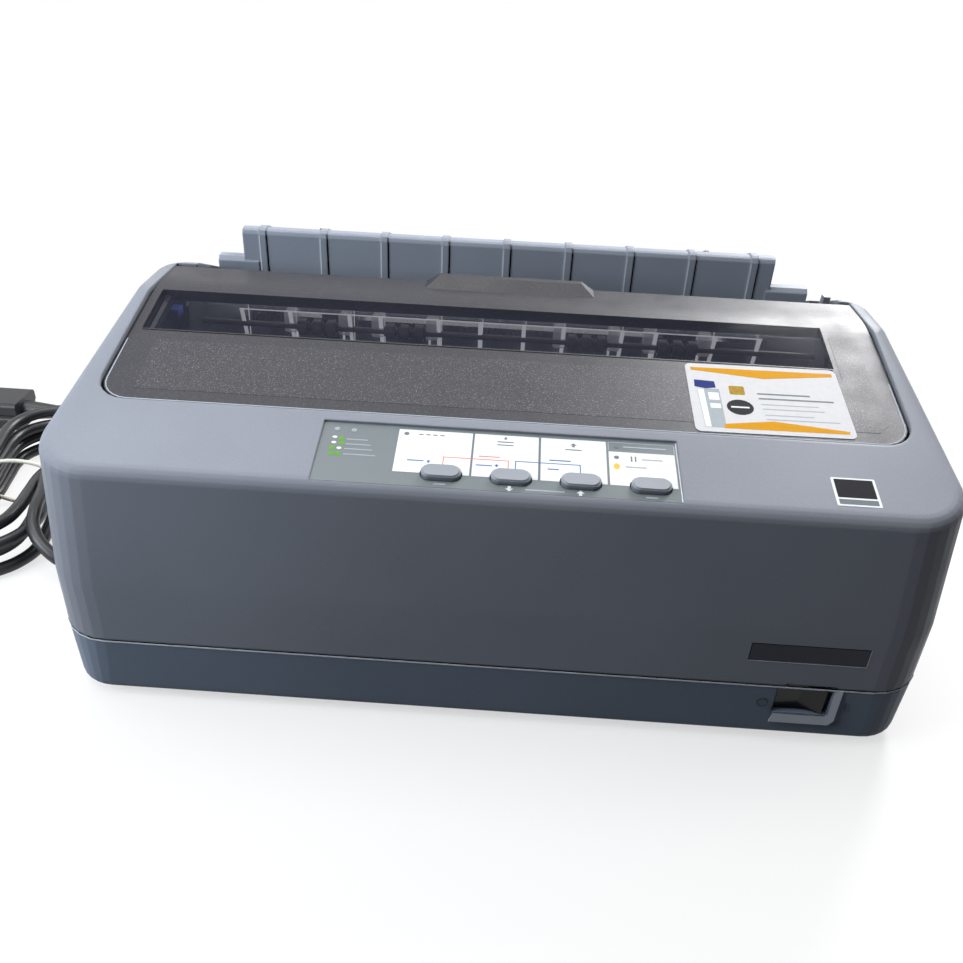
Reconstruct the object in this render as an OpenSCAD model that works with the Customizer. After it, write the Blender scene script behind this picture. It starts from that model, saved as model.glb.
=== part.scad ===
// Dot matrix printer with a hinged cover, millimetres.
// X runs to the right, Y to the rear and Z up. The origin is on the surface it
// stands on, at the centre of its width and depth. Rest pose: cover shut, paper
// guide lying flat, carriage parked at the left, tractors at their inner places.

/* [Case] */
// Width over both sides
case_w = 356; // [348:1:372]
// Depth from front to back
case_d = 275; // [270:1:290]
// Height of the joint between the lower and the upper case
part_z = 32; // [30:1:36]
// Height of the feet
foot_h = 3; // [2:0.5:6]
// Wall of both case shells
wall = 2.5; // [2:0.1:3.2]
// Height of the sloping top, carried on to the front face
brow_z = 111.5; // [108:0.5:116]
// Slope of the top in front, in degrees
slope_deg = 14.2; // [13:0.1:15]
// Where the slope turns level, in front of the middle
bend_back = 20; // [16:1:24]
// Where the level top starts to fall to the rear
flat_back = 12; // [11:1:16]
// Slope of the rear of the top, in degrees
rear_deg = 21; // [19:0.5:22]
// Corner radius in plan, at the front
front_r = 23; // [18:1:28]
// Corner radius in plan, at the rear
rear_r = 14; // [10:1:18]
// Radius of the rolled top edge
roll_r = 5.5; // [4.5:0.25:7]
// Height up to which the sides stand upright
belly_z = 60; // [50:1:68]
// How far each side leans in from there to the front edge of the top
brow_lean = 4; // [2:0.5:6]
// How far each side leans in from there on to the level top
lean = 4.5; // [3:0.5:6]
// Corner radius in plan at the very bottom, in front
base_r = 18; // [14:1:22]
// How far the bottom edge sits in from the sides
base_in = 2.5; // [1:0.5:5]
// How far the bottom edge sits in from the front and the rear
base_back = 1.5; // [0.5:0.5:2]

/* [Cover] */
// Half width of the opening under the cover
bay_half = 161; // [159:0.5:162]
// Front edge of the opening, from the front face
bay_front = 39.2; // [38:0.2:42]
// Gap round the cover
cover_gap = 1.2; // [0.8:0.1:1.6]
// Thickness of the cover
cover_t = 2.5; // [2:0.1:3]
// Corner radius of the cover
cover_r = 12; // [8:1:16]
// Rear edge of the cover, behind the middle
cover_back = 5; // [4:0.5:5.5]
// Left edge of the clear window
window_left = -156; // [-157:0.5:-150]
// Right edge of the clear window
window_right = 138.5; // [130:0.5:145]
// Front edge of the clear window, in front of the middle
window_front = 52.5; // [48:0.5:56]
// Rear edge of the clear window, in front of the middle
window_rear = 24; // [23:0.5:28]
// Half length of the raised lip at the rear edge
lip_half = 36.5; // [30:0.5:40]
// Height of the raised lip
lip_rise = 4; // [2:0.5:4.5]
// Radius of the cover's hinge pins
hinge_r = 1.6; // [1.2:0.1:1.8]

/* [Paper guide] */
// Height of the guide's crest
crest_z = 154; // [151:0.5:157]
// Front face of the guide, behind the middle
guide_y = 30; // [29:0.5:33]
// Half width of the guide
guide_half = 131.6; // [126:0.5:134]
// How far the guide's fence sits left of the middle
guide_shift = 2.7; // [0:0.1:3]
// Half width over the guide's low shoulders
shoulder_half = 147.5; // [145:0.5:148]
// Wall of the guide
guide_t = 3; // [2.5:0.1:3.5]
// Number of raised strips
strips = 9; // [7:1:11]
// Distance from strip to strip
strip_pitch = 30.4; // [22:0.2:31]
// Width of a strip
strip_w = 3.5; // [2.5:0.1:5]
// Radius of the posts that the guide turns on
post_r = 3; // [2.5:0.1:3.5]
// Width of each sliding edge guide's foot
edge_foot = 22; // [16:1:22]

/* [Platen and paper feed] */
// Radius of the platen roller
platen_r = 12; // [11:0.25:12.5]
// Half length of the platen roller
platen_half = 122; // [118:1:123]
// Platen axis behind the middle
platen_y = 14; // [13:0.5:15]
// Height of the platen axis
platen_z = 92; // [91:0.5:93]
// Radius of the platen shaft
platen_shaft_r = 4; // [3.5:0.1:4.5]
// Radius of the hand knob
knob_r = 13; // [11:0.5:14]
// Tooth size of the feed gears
gear_m = 1; // [0.9:0.05:1]
// Thickness of the gears
gear_t = 5; // [4:0.25:5.5]
// Distance from the platen axis back to the tractor shaft
tractor_back = 70; // [69:0.5:71]
// Height of the tractor shaft
tractor_z = 86; // [85:0.5:87]
// Width across the square tractor shaft
tractor_sq = 6; // [5:0.25:7]
// Radius of the round tractor rail
rail_r = 3; // [2.5:0.1:3.5]
// Distance from the tractor shaft back to the rail
rail_back = 19; // [18:0.5:21]
// Width of a tractor
tractor_w = 18; // [16:0.5:20]
// Pins round a sprocket
sprocket_pins = 8; // [6:1:10]

/* [Carriage] */
// Radius of the shaft that the carriage slides on
slide_r = 5; // [4:0.25:5.5]
// Slide shaft in front of the middle
slide_front = 36; // [35:0.5:38]
// Height of the slide shaft
slide_z = 62; // [61:0.5:63]
// Half width of the ribbon cartridge
cartridge_half = 44; // [40:0.5:46]
// Where the carriage is parked, left of the middle
park = 102; // [98:0.5:102]
// Pulleys in front of the middle
belt_front = 70; // [69:0.5:72]
// Radius of the belt pulleys
pulley_r = 8; // [7:0.25:8.5]
// Half distance between the pulleys
belt_half = 128; // [124:1:130]
// Thickness of the belt
belt_t = 0.9; // [0.7:0.1:1.2]
// Running clearance of shafts and sliding bores
run_gap = 0.06; // [0.04:0.01:0.09]

/* [Control panel] */
// Half width of the panel plate
panel_half = 67.5; // [66:0.5:70]
// Rear edge of the panel plate, from the front face
panel_rear = 34.5; // [34:0.5:35.5]
// Front edge of the panel plate, from the front face
panel_front = 3.9; // [3.5:0.1:4.5]
// Distance from button to button
button_pitch = 25.6; // [22:0.2:27]
// Middle of the row of buttons, right of the middle
button_mid = 18; // [16:0.5:19]
// Length of a button
button_w = 14.7; // [12:0.1:16]
// Width of a button
button_d = 6.4; // [5.5:0.1:7]
// Travel of a button
button_travel = 1; // [0.6:0.1:1.2]

/* [Power switch and connectors] */
// Middle of the switch, right of the middle
switch_x = 129; // [126:0.5:131]
// Width of the rocker
rocker_w = 20; // [18:0.5:22]
// Height of the rocker
rocker_h = 12; // [10:0.5:13]

/* [Power cord] */
// Diameter of the cord
cord_d = 6.5; // [6:0.1:7]
// Straight runs of the hank
hank_run = 84; // [80:1:100]
// Loops in the hank, one above the other
hank_loops = 4; // [4:2:6]
// Gap between loops that lie on each other
hank_gap = 0.6; // [0.5:0.1:1]
// How much wider the outer end of a loop is than its inner end
hank_step = 9; // [9:0.5:12]
// How far the tie draws the runs in, as a share of their width
hank_waist = 0.28; // [0.1:0.01:0.3]

/* [Hidden] */
$fn = 48;
fit = 0.3;          // gap between pieces that only lie side by side

// Colours
grey = "#5c6670";
dark_grey = "#3c434b";
black = "#1b1c1e";
steel = "#a9adb1";
nylon = "#d8d8d2";

// Case outline
y_front = -case_d / 2;
y_back = case_d / 2;
half_w = case_w / 2;
bend_y = -bend_back;
top_z = brow_z + tan(slope_deg) * (bend_y - y_front);
brow_half = half_w - brow_lean;
top_half = brow_half - lean;
floor_z = foot_h + wall;
base_roll = 4;
function top_at(y) =
    y < bend_y ? brow_z + tan(slope_deg) * (y - y_front) :
    y < flat_back ? top_z : top_z - tan(rear_deg) * (y - flat_back);

// Steel frame
frame_in = shoulder_half + 0.7;
frame_t = 2;
frame_out = frame_in + frame_t;
pan_z = floor_z + 0.5;
pan_t = 1.5;
pan_top = pan_z + pan_t;
pan_front = -belt_front - 19;
pan_back = 118;

// Boards on the base pan
board_z = pan_top + 7;
board_t = 1.6;
board_top = board_z + board_t;
supply_left = -frame_in + 6.2;
supply_right = supply_left + 82;
supply_front = 58;
supply_back = 114;
main_left = supply_right + 8;
main_right = frame_in - 10.2;
main_front = -50;
main_back = y_back - 19;

// Connectors at the rear: left end, right end and top of each
connectors = [[-16, 38, 28], [56, 80, 25], [95.5, 106.5, 25]];
connector_gap = 3;

// Cover and its hinge
bay_y = y_front + bay_front;
hinge_y = 2;
hinge_z = top_z - cover_t - 3.2;
bay_back = hinge_y + norm([cover_back - hinge_y, top_z - hinge_z]) + 0.6;
eye_r = top_z - cover_t - hinge_z - 0.4;
ear_in = frame_out + 2;
ear_t = 3;
bracket_in = ear_in + ear_t + fit;
bracket_t = 3;

// Paper guide
post_y = guide_y + 18;
post_z = crest_z - 32;
crest_l = 7;
deck_end = y_back - 5;
function deck_at(y) = crest_z - tan(rear_deg) * (y - guide_y - crest_l);
shoulder_z = crest_z - 15;
slot_z = 88;
ears_end = post_y + 14;

// Gears of the paper feed, on the right of the right frame
gear_x = frame_out + 2.3;
platen_teeth = 40;
tractor_teeth = 30;
idler_teeth = 36;
pinion_teeth = 12;
mesh_gap = 0.3;
tractor_y = platen_y + tractor_back;
rail_y = tractor_y + rail_back;
function mesh(a, b) = gear_m * (a + b) / 2 + mesh_gap;
span = norm([tractor_back, tractor_z - platen_z]);
lift = atan2(tractor_z - platen_z, tractor_back);
idler_ang = lift + acos((pow(mesh(platen_teeth, idler_teeth), 2) + span * span
    - pow(mesh(tractor_teeth, idler_teeth), 2)) / (2 * span * mesh(platen_teeth, idler_teeth)));
idler_y = platen_y + mesh(platen_teeth, idler_teeth) * cos(idler_ang);
idler_z = platen_z + mesh(platen_teeth, idler_teeth) * sin(idler_ang);
pinion_ang = -60;
pinion_y = platen_y + mesh(platen_teeth, pinion_teeth) * cos(pinion_ang);
pinion_z = platen_z + mesh(platen_teeth, pinion_teeth) * sin(pinion_ang);
// Turn of gear b, with nb teeth, that meshes with gear a across the direction ang
function phase(ang, pa, na, nb) = ang + 180 - (pa - ang) * na / nb + 180 / nb;
idler_phase = phase(idler_ang, 0, platen_teeth, idler_teeth);
tractor_ang = atan2(tractor_z - idler_z, tractor_y - idler_y);
tractor_phase = phase(tractor_ang, idler_phase, idler_teeth, tractor_teeth);
pinion_phase = phase(pinion_ang, 0, platen_teeth, pinion_teeth);

// Carriage
slide_y = -slide_front;
belt_y = -belt_front;
belt_z = slide_z + 3;
motor_top = 39;     // under the carriage rail
nose_y = platen_y - platen_r - 0.8;
carriage_top = platen_z - 8.3;

// Tension rollers in the eject frame
plate_y = platen_y - 8;
tension_y = plate_y - 5;
tension_z = platen_z + 24;
rib_x = [-128, -104.7, -76, -61, -33, -13, 8, 27, 55, 71, 99, 120];
cluster_x = [-92, -49.5, 38.5, 82];

// Feed motor, clear of the platen's bush
bush_rim = platen_shaft_r + 5;
feed_motor_r = mesh(platen_teeth, pinion_teeth) - bush_rim - 0.5;

// Levers on the outside of the frames
lever_stud = 2.5;
thickness_y = -2;
thickness_z = platen_z + 4;
release_y = platen_y + 10;
release_z = platen_z + 27;

// Tractors
tractor_x = 96;
pin_tip = 12.4;
door_z = tractor_z + pin_tip + 1.2;
door_pin_r = 1;
door_pin_x = tractor_w / 2 - 1.9;
door_front = tractor_y - 13;
door_rear = rail_y - 1;

// Power cord: it leaves the rear on the left, runs forward beside the case and lies in a
// tied hank of oblong loops. The hank's path is counted in steps, 24 to a loop.
exit_x = -125;
exit_z = 16;
relief_r = 5.8;
relief_end = y_back + 27;
hank_x = -262;
loop_steps = 24;
hank_inner = 3 * cord_d;
hank_low = cord_d / 2 + 0.4;
table_z = cord_d / 2 + 0.05;
function hank_turn(k) = let (q = k % loop_steps)
    q < 2 ? 0 : q < 10 ? (q - 2) * 22.5 : q < 14 ? 180 : q < 22 ? 180 + (q - 14) * 22.5 : 360;
function hank_side(k) = let (q = k % loop_steps)
    q < 2 ? q / 2 : q < 10 ? 1 : q < 14 ? 1 - (q - 10) / 2 : q < 22 ? -1 : (q - 22) / 2 - 1;
function hank_radius(k) = hank_inner + hank_step * abs(min(k / loop_steps, hank_loops) % 2 - 1);
function hank_sunk(k) = [for (j = [1 : hank_loops - 1]) 1]
    * [for (j = [1 : hank_loops - 1]) max(0, min(1, (k - loop_steps * j + 2) / 4))];
function hank_point(k) = [
    hank_x + hank_radius(k) * cos(hank_turn(k)) * (1 - hank_waist * pow(cos(90 * hank_side(k)), 2)),
    hank_side(k) * hank_run / 2 + hank_radius(k) * sin(hank_turn(k)),
    hank_low + (cord_d + hank_gap) * (hank_loops - 1 - hank_sunk(k))];
hank_last = loop_steps * hank_loops + 2;
hank_start = hank_point(0) - [0, cord_d, 0];
hank_end = hank_point(hank_last) + [0, cord_d, 0];
cord_route = [
    [exit_x, relief_end, exit_z], [exit_x, 176, 15], [-127.5, 187, 11.5], [-135, 196, 7.2], [-147, 200.5, 4.2],
    [-160, 198, 3.4], [-171, 190, table_z], [-178, 178, table_z], [-181, 164, table_z], [-181.5, 146, table_z],
    [-181.5, 128, table_z], [-181, 110, table_z], [-181, 92, table_z], [-181, 74, table_z], [-181, 56, table_z],
    [-181, 38, table_z], [-181, 20, table_z], [-181, 2, table_z], [-181, -17, table_z], [-181, -34, table_z],
    [-184.5, -48, 3.4], [-194, -58, 4.6], [-207.5, -61.5, 9], [-220, -58.5, 15.5], [-229, -50, 21.5],
    [-233, -38, 24.8], [-236.3, -24.5, hank_start[2]], [-239.2, -15, hank_start[2]], hank_start - [0, 3, 0],
    hank_start];
lead_route = [
    hank_end, hank_end + [0, 9, 0], [-234.6, 68, 3.8], [-239, 78, 4.2], [-246, 86, 5],
    [-255, 91, 6.2], [-265, 93, 7.8], [-275, 93.5, 9], [-285, 93.5, 9.5]];
plug_at = lead_route[len(lead_route) - 1];

// Panel frame: origin on the slope at the front face, x right, y up the slope
module on_slope() translate([0, y_front, brow_z]) rotate([slope_deg, 0, 0]) children();
function along(d) = d / cos(slope_deg);
button_s = along(10.6);
button_low = -6.1;      // underside of a button at rest
switch_low = -10.6;     // top of the panel's board

// ---------- shared shapes ----------

// Profile given as [y, z] points, drawn out along X
module across(x0, x1) translate([x0, 0, 0]) rotate([90, 0, 90]) linear_extrude(x1 - x0) children();

// Round bar along X
module bar(r, x0, x1, y, z) translate([x0, y, z]) rotate([0, 90, 0]) cylinder(r = r, h = x1 - x0);

// Box between two corners
module block(lo, hi) translate(lo) cube(hi - lo);

// The same thing on both sides
module both_sides() {
    children();
    mirror([1, 0, 0]) children();
}

// Flat disc of a rounded corner, with a rolled rim
module ring(r, roll) rotate_extrude($fn = 32) translate([r - roll, 0]) circle(r = roll, $fn = 20);

// Point on the top surface's centre line of a roll, set back by the roll radius
function under_top(y, deg) = [y + roll_r * sin(deg), top_at(y) - roll_r * cos(deg)];

// Gear in the YZ plane at x, from its tooth count
module gear(x, y, z, teeth, turn, bore) {
    pitch_r = gear_m * teeth / 2;
    tip = pitch_r + 0.8 * gear_m;
    root = pitch_r - 1.15 * gear_m;
    step = 360 / teeth;
    translate([x, y, z]) rotate([90, 0, 90]) difference() {
        linear_extrude(gear_t) polygon([for (i = [0 : teeth - 1])
            for (p = [[-0.29, root], [-0.19, pitch_r], [-0.09, tip], [0.09, tip], [0.19, pitch_r], [0.29, root]])
            p[1] * [cos(turn + (i + p[0]) * step), sin(turn + (i + p[0]) * step)]]);
        translate([0, 0, -1]) cylinder(r = bore, h = gear_t + 2);
        if (teeth > 20) translate([0, 0, gear_t - 1.5]) difference() {
            cylinder(r = root - 2.5, h = 2);
            translate([0, 0, -1]) cylinder(r = bore + 3, h = 4);
        }
    }
}

function unit(v) = v / norm(v);

// Round tube through a list of points, square at both ends
module tube(points, r, sides) {
    last = len(points) - 1;
    corners = [for (i = [0 : last])
        let (ahead = unit(points[min(i + 1, last)] - points[max(i - 1, 0)]))
        let (across = unit(cross([0, 0, 1], ahead)), up = cross(ahead, across))
        for (j = [0 : sides - 1]) points[i] + r * (cos(j * 360 / sides) * across + sin(j * 360 / sides) * up)];
    polyhedron(corners, concat(
        [for (j = [1 : sides - 2]) [0, j, j + 1]],
        [for (j = [1 : sides - 2]) [last * sides, last * sides + j + 1, last * sides + j]],
        [for (i = [0 : last - 1], j = [0 : sides - 1])
            [i * sides + j, (i + 1) * sides + (j + 1) % sides, i * sides + (j + 1) % sides]],
        [for (i = [0 : last - 1], j = [0 : sides - 1])
            [i * sides + j, (i + 1) * sides + j, (i + 1) * sides + (j + 1) % sides]]));
}

// ---------- case ----------

// Whole case above the joint; inset takes it in all round
module case_form(inset, low) hull() both_sides() {
    translate([half_w - front_r, y_front + front_r, low])
        cylinder(r = front_r - inset, h = belly_z - low, $fn = 32);
    translate([half_w - rear_r, y_back - rear_r, low])
        cylinder(r = rear_r - inset, h = belly_z - low, $fn = 32);
    brow = under_top(y_front + front_r, slope_deg);
    translate([brow_half - front_r, brow[0] - 0.8, brow[1]]) rotate([slope_deg, 0, 0])
        ring(front_r - inset, roll_r - inset);
    for (y = [bend_y, flat_back - rear_r + 4])
        translate([top_half - rear_r, y, top_z - roll_r]) ring(rear_r - inset, roll_r - inset);
    tail = under_top(y_back - rear_r, rear_deg);
    translate([top_half - rear_r, y_back - rear_r, tail[1] - 1.6])
        rotate([-rear_deg, 0, 0]) ring(rear_r - inset, roll_r - inset);
}

// Outline of the bay under the cover, seen from above
module bay_outline(inset, back)
    polygon([for (s = [-1, 1])
        for (a = [0 : 15 : 90])
        let (r = cover_r + cover_gap - inset, c = (s < 0 ? 180 + a : 270 + a))
        [s * (bay_half - cover_r - cover_gap) + r * cos(c), bay_y + cover_r + cover_gap + r * sin(c)],
        [bay_half - inset, back], [-bay_half + inset, back]]);

// Height of the cover, whose bend is eased over twice this length
ease = 9;
function cover_at(y) = abs(y - bend_y) < ease
    ? top_z - tan(slope_deg) * pow(bend_y + ease - y, 2) / (4 * ease) : top_at(y);

// Band under the cover's surface between two depths, from y0 to y1
module top_band(d0, d1, x0, x1, y0, y1) {
    stations = concat([y0], [for (i = [-3 : 3]) let (y = bend_y + i * ease / 3) if (y > y0 && y < y1) y], [y1]);
    last = len(stations) - 1;
    across(x0, x1) polygon(concat(
        [for (y = stations) [y, cover_at(y) - d0]],
        [for (i = [0 : last]) let (y = stations[last - i]) [y, cover_at(y) - d1]]));
}

module oblong(w, d) union() {
    square([w - d, d], center = true);
    for (s = [-1, 1]) translate([s * (w - d) / 2, 0]) circle(d = d);
}

module button_holes(grow) for (i = [0 : 3])
    translate([button_mid + (i - 1.5) * button_pitch, button_s, -12])
    linear_extrude(16) oblong(button_w + 2 * grow, button_d + 2 * grow);

module upper_case() color(grey) {
    difference() {
        case_form(0, part_z);
        case_form(wall, part_z - 1);
        // Bay under the cover
        translate([0, 0, part_z + 20]) linear_extrude(120) bay_outline(0, bay_back);
        // Way of the paper, open to the rear above the slot
        block([-frame_out - 0.8, cover_back, slot_z], [frame_out + 0.8, ears_end, crest_z + 20]);
        block([-guide_half - guide_shift - 1.5, ears_end - 1, slot_z],
            [guide_half - guide_shift + 1.5, y_back + 10, crest_z + 20]);
        // Slot of the release lever
        block([frame_out, flat_back - 4, 120], [frame_out + 6, flat_back + 22, crest_z]);
        // Knob
        bar(knob_r + 1.2, half_w - 16, half_w + 5, platen_y, platen_z);
        // Recess of the panel plate, and the buttons
        on_slope() {
            translate([-panel_half - 0.1, along(panel_front) - 0.1, -0.5])
                cube([2 * panel_half + 0.2, along(panel_rear - panel_front) + 0.2, 5]);
            button_holes(0.5);
        }
        // Notch over the power switch
        block([switch_x - 9, y_front - 1, part_z - 1], [switch_x + 12, y_front + wall + 1, part_z + 0.8]);
        // Cooling slots in both sides
        both_sides() for (i = [0 : 11])
            translate([half_w - 8, 56 + i * 6, 44]) cube([20, 2.6, 30]);
    }
    // Ledges that the cover rests on
    ledge = cover_t + fit;
    both_sides() {
        top_band(ledge, ledge + 2, bay_half - 4, bay_half + 1, bay_y + 14, -8);
        top_band(wall - 0.8, ledge + 2, bay_half + 0.2, bay_half + 2.5, bay_y + 14, -8);
    }
    top_band(ledge, ledge + 2, -bay_half + 14, bay_half - 14, bay_y - 1, bay_y + 4);
    top_band(wall - 0.8, ledge + 2, -bay_half + 14, bay_half - 14, bay_y - 2.5, bay_y - 0.2);
}

module lower_case() color(dark_grey) difference() {
    tray(0, foot_h, part_z - fit);
    tray(wall, floor_z, part_z + 1);
    // Power switch
    block([switch_x - rocker_w / 2 - 1.2, y_front - 1, 16.8], [switch_x + rocker_w / 2 + 1.2, y_front + 8, part_z + 2]);
    // Connectors at the back
    for (c = connectors) block([c[0] - connector_gap, y_back - 8, board_z - 0.5],
        [c[1] + connector_gap, y_back + 1, c[2] + 1]);
    // Strain relief of the power cord
    translate([exit_x, y_back + 5, exit_z]) rotate([90, 0, 0]) cylinder(r = relief_r + 0.2, h = 14);
    // Cooling slots in the bottom
    for (i = [0 : 13]) translate([-110 + i * 8, 66, foot_h - 1]) cube([3, 40, 6]);
}

// Bottom shell; inset takes it in all round
module tray(inset, low, high) hull() both_sides() {
    translate([half_w - front_r, y_front + front_r, high - 0.1]) cylinder(r = front_r - inset, h = 0.1, $fn = 32);
    translate([half_w - rear_r, y_back - rear_r, high - 0.1]) cylinder(r = rear_r - inset, h = 0.1, $fn = 32);
    translate([half_w - base_in - base_r, y_front + base_r + base_back, low + base_roll])
        ring(base_r - inset, base_roll);
    translate([half_w - base_in - rear_r, y_back - rear_r - base_back, low + base_roll])
        ring(rear_r - inset, base_roll);
}

module rubber_feet() color(black) both_sides() for (y = [y_front + 26, y_back - 26])
    translate([half_w - 34, y, 0]) cylinder(r = 8, h = foot_h - 0.02);

// ---------- frame and boards ----------

module base_pan() color(steel) difference() {
    union() {
        block([-frame_out, pan_front, pan_z], [frame_out, pan_back, pan_top]);
        block([-frame_out, pan_front, pan_z], [frame_out, pan_front + pan_t, pan_top + 6]);
        block([-frame_out, pan_back - pan_t, pan_z], [frame_out, pan_back, pan_top + 4]);
        // Post of the idler pulley
        translate([-belt_half, belt_y, pan_z]) cylinder(r = 5, h = belt_z - 4.3 - pan_z);
        translate([-belt_half, belt_y, pan_z]) cylinder(r = 1.5, h = belt_z + 6 - pan_z);
    }
    for (i = [0 : 8]) translate([-112 + i * 10, 70, pan_z - 1]) cube([5, 36, 5]);
}

frame_line = [[-82, pan_top], [-82, 62], [-52, 80], [-18, 104], [-10, 130], [9, 130], [20, 126],
    [post_y - 5, post_z + 4], [post_y + 4, post_z + 4], [62, post_z - 12], [106, 99], [116, 94], [116, pan_top]];

module side_frame(s) color(steel) {
    across(min(s * frame_in, s * frame_out), max(s * frame_in, s * frame_out)) difference() {
        polygon(frame_line);
        translate([platen_y, platen_z]) circle(r = platen_shaft_r + 3.1);
        translate([slide_y, slide_z]) circle(r = slide_r + 0.05);
        translate([tractor_y, tractor_z]) circle(r = tractor_sq * 0.75 + run_gap);
        translate([rail_y, tractor_z]) circle(r = rail_r + 0.05);
        translate([tension_y, tension_z]) circle(r = 1.5 + run_gap);
        translate([pinion_y, pinion_z]) circle(r = 2.2);
        translate([62, 22]) square([34, 26]);
        translate([-66, 20]) square([34, 22]);
    }
    // Post of the paper guide
    bar(post_r, min(s * (frame_in - 8.5), s * (frame_in + 0.5)), max(s * (frame_in - 8.5), s * (frame_in + 0.5)), post_y, post_z);
}

module side_frame_left() {
    side_frame(-1);
    // Stud of the thickness lever
    color(steel) bar(lever_stud, -frame_out - 13, -frame_out + 0.5, thickness_y, thickness_z);
}

module side_frame_right() {
    side_frame(1);
    // Studs of the idler gear and the release lever
    color(steel) {
        bar(2.5, frame_out - 0.5, gear_x + gear_t + 1.5, idler_y, idler_z);
        bar(lever_stud, frame_out - 0.5, frame_out + 5, release_y, release_z);
    }
}

module carriage_shaft() color(steel) bar(slide_r, -frame_out - 1.5, frame_out + 1.5, slide_y, slide_z);

module carriage_rail() color(steel) across(-frame_in + 0.2, frame_in - 0.2) polygon([
    [-60, 40], [-58.5, 40], [-58.5, 46.5], [-50, 46.5], [-50, 48], [-60, 48]]);

// Posts that carry a board, one at each place
module posts(places) for (p = places) translate([p[0], p[1], pan_top]) cylinder(r = 3, h = board_z - pan_top);

module main_board() {
    color("#2f6b45") block([main_left, main_front, board_z], [main_right, main_back, board_top]);
    color(steel) posts([[main_left + 6, main_front + 6], [main_right - 6, main_front + 6], [40, 30],
        [main_left + 6, main_back - 6], [main_right - 6, main_back - 22]]);
    color(black) {
        block([0, -20, board_top], [28, 8, board_top + 2.4]);
        block([46, -30, board_top], [70, -12, board_top + 2.4]);
        block([46, 20, board_top], [66, 40, board_top + 2.4]);
        for (i = [0 : 3]) translate([main_right - 14 - i * 12, -30, board_top]) cylinder(r = 5, h = 18);
        block([main_left + 12, -30, board_top], [main_left + 34, -24, board_top + 8.4]);
        block([main_left + 12, 60, board_top], [main_left + 18, 100, board_top + 7.4]);
    }
}

module power_supply() {
    color("#8a6d3b") block([supply_left, supply_front, board_z], [supply_right, supply_back, board_top]);
    color(steel) {
        posts([for (x = [supply_left + 4, supply_right - 4]) for (y = [supply_front + 4, supply_back - 4]) [x, y]]);
        // Heat sink
        block([supply_left + 2, 66, board_top], [supply_left + 5, 108, 40]);
        for (i = [0 : 4]) block([supply_left + 5, 70 + i * 8, 20], [supply_left + 11, 72 + i * 8, 38]);
    }
    color("#c9a227") block([supply_left + 24, 74, board_top], [supply_left + 50, 98, 40]);
    color(black) for (y = [70, 90]) translate([supply_right - 16, y, board_top]) cylinder(r = 9, h = 24);
}

module feed_motor() color(steel) {
    bar(feed_motor_r, frame_in - 22, frame_in - 0.1, pinion_y, pinion_z);
    bar(1.5, frame_in - 0.2, gear_x + gear_t, pinion_y, pinion_z);
}

module carriage_motor() color(steel) translate([belt_half, belt_y, 0]) {
    translate([0, 0, pan_top]) cylinder(r = 15, h = 4);
    translate([0, 0, pan_top + 3]) cylinder(r = 17, h = motor_top - pan_top - 3);
    translate([0, 0, motor_top - 1]) cylinder(r = 1.5, h = belt_z + 6 - motor_top + 1);
}

module platen_bushes() color(nylon) both_sides() difference() {
    union() {
        bar(platen_shaft_r + 3, frame_in - 1, frame_out + 1, platen_y, platen_z);
        bar(bush_rim, frame_in - 1.8, frame_in - 0.1, platen_y, platen_z);
    }
    bar(platen_shaft_r + run_gap, frame_in - 5, frame_out + 5, platen_y, platen_z);
}

module hinge_brackets() color(dark_grey) both_sides() difference() {
    union() {
        block([frame_out + 0.1, hinge_y - eye_r, hinge_z - 15], [bracket_in + bracket_t, hinge_y + eye_r, hinge_z - 12]);
        block([bracket_in, hinge_y - eye_r, hinge_z - 13], [bracket_in + bracket_t, hinge_y + eye_r, hinge_z]);
        // Eye, round so that the cover swings past it
        bar(eye_r, bracket_in, bracket_in + bracket_t, hinge_y, hinge_z);
    }
    bar(hinge_r + run_gap, bracket_in - 1, bracket_in + bracket_t + 1, hinge_y, hinge_z);
}

// Clear plate behind the tension rollers, with ribs that lead the paper
module eject_frame() color([0.8, 0.85, 0.9, 0.5]) difference() {
    union() {
        across(-frame_in + 0.2, frame_in - 0.2) polygon([
            [plate_y, platen_z + 13], [plate_y + 1.5, platen_z + 12.5], [plate_y + 1.5, platen_z + 33],
            [plate_y - 2.5, platen_z + 33], [plate_y - 2.5, platen_z + 31.5], [plate_y, platen_z + 31.5]]);
        for (x = rib_x) across(x - 0.8, x + 0.8) polygon([
            [plate_y + 0.5, platen_z + 14], [plate_y - 2, platen_z + 15],
            [plate_y - 8, platen_z + 33], [plate_y + 0.5, platen_z + 33]]);
    }
    bar(1.6, -frame_in, frame_in, tension_y, tension_z);
}

module tension_rollers() {
    color(steel) bar(1.5, -frame_out, frame_out, tension_y, tension_z);
    color("#8f9296") for (x = cluster_x) for (i = [-1 : 1]) difference() {
        union() {
            bar(4.2, x + i * 7 - 2, x + i * 7 + 2, tension_y, tension_z);
            bar(2.6, x + i * 7 - 3, x + i * 7 + 3, tension_y, tension_z);
        }
        bar(1.53, x + i * 7 - 4, x + i * 7 + 4, tension_y, tension_z);
    }
}

// ---------- control panel ----------

module panel_plate() color("#8d9399") on_slope() difference() {
    translate([-panel_half, along(panel_front), -0.45])
        cube([2 * panel_half, along(panel_rear - panel_front), 0.45]);
    button_holes(0.5);
}

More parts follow.
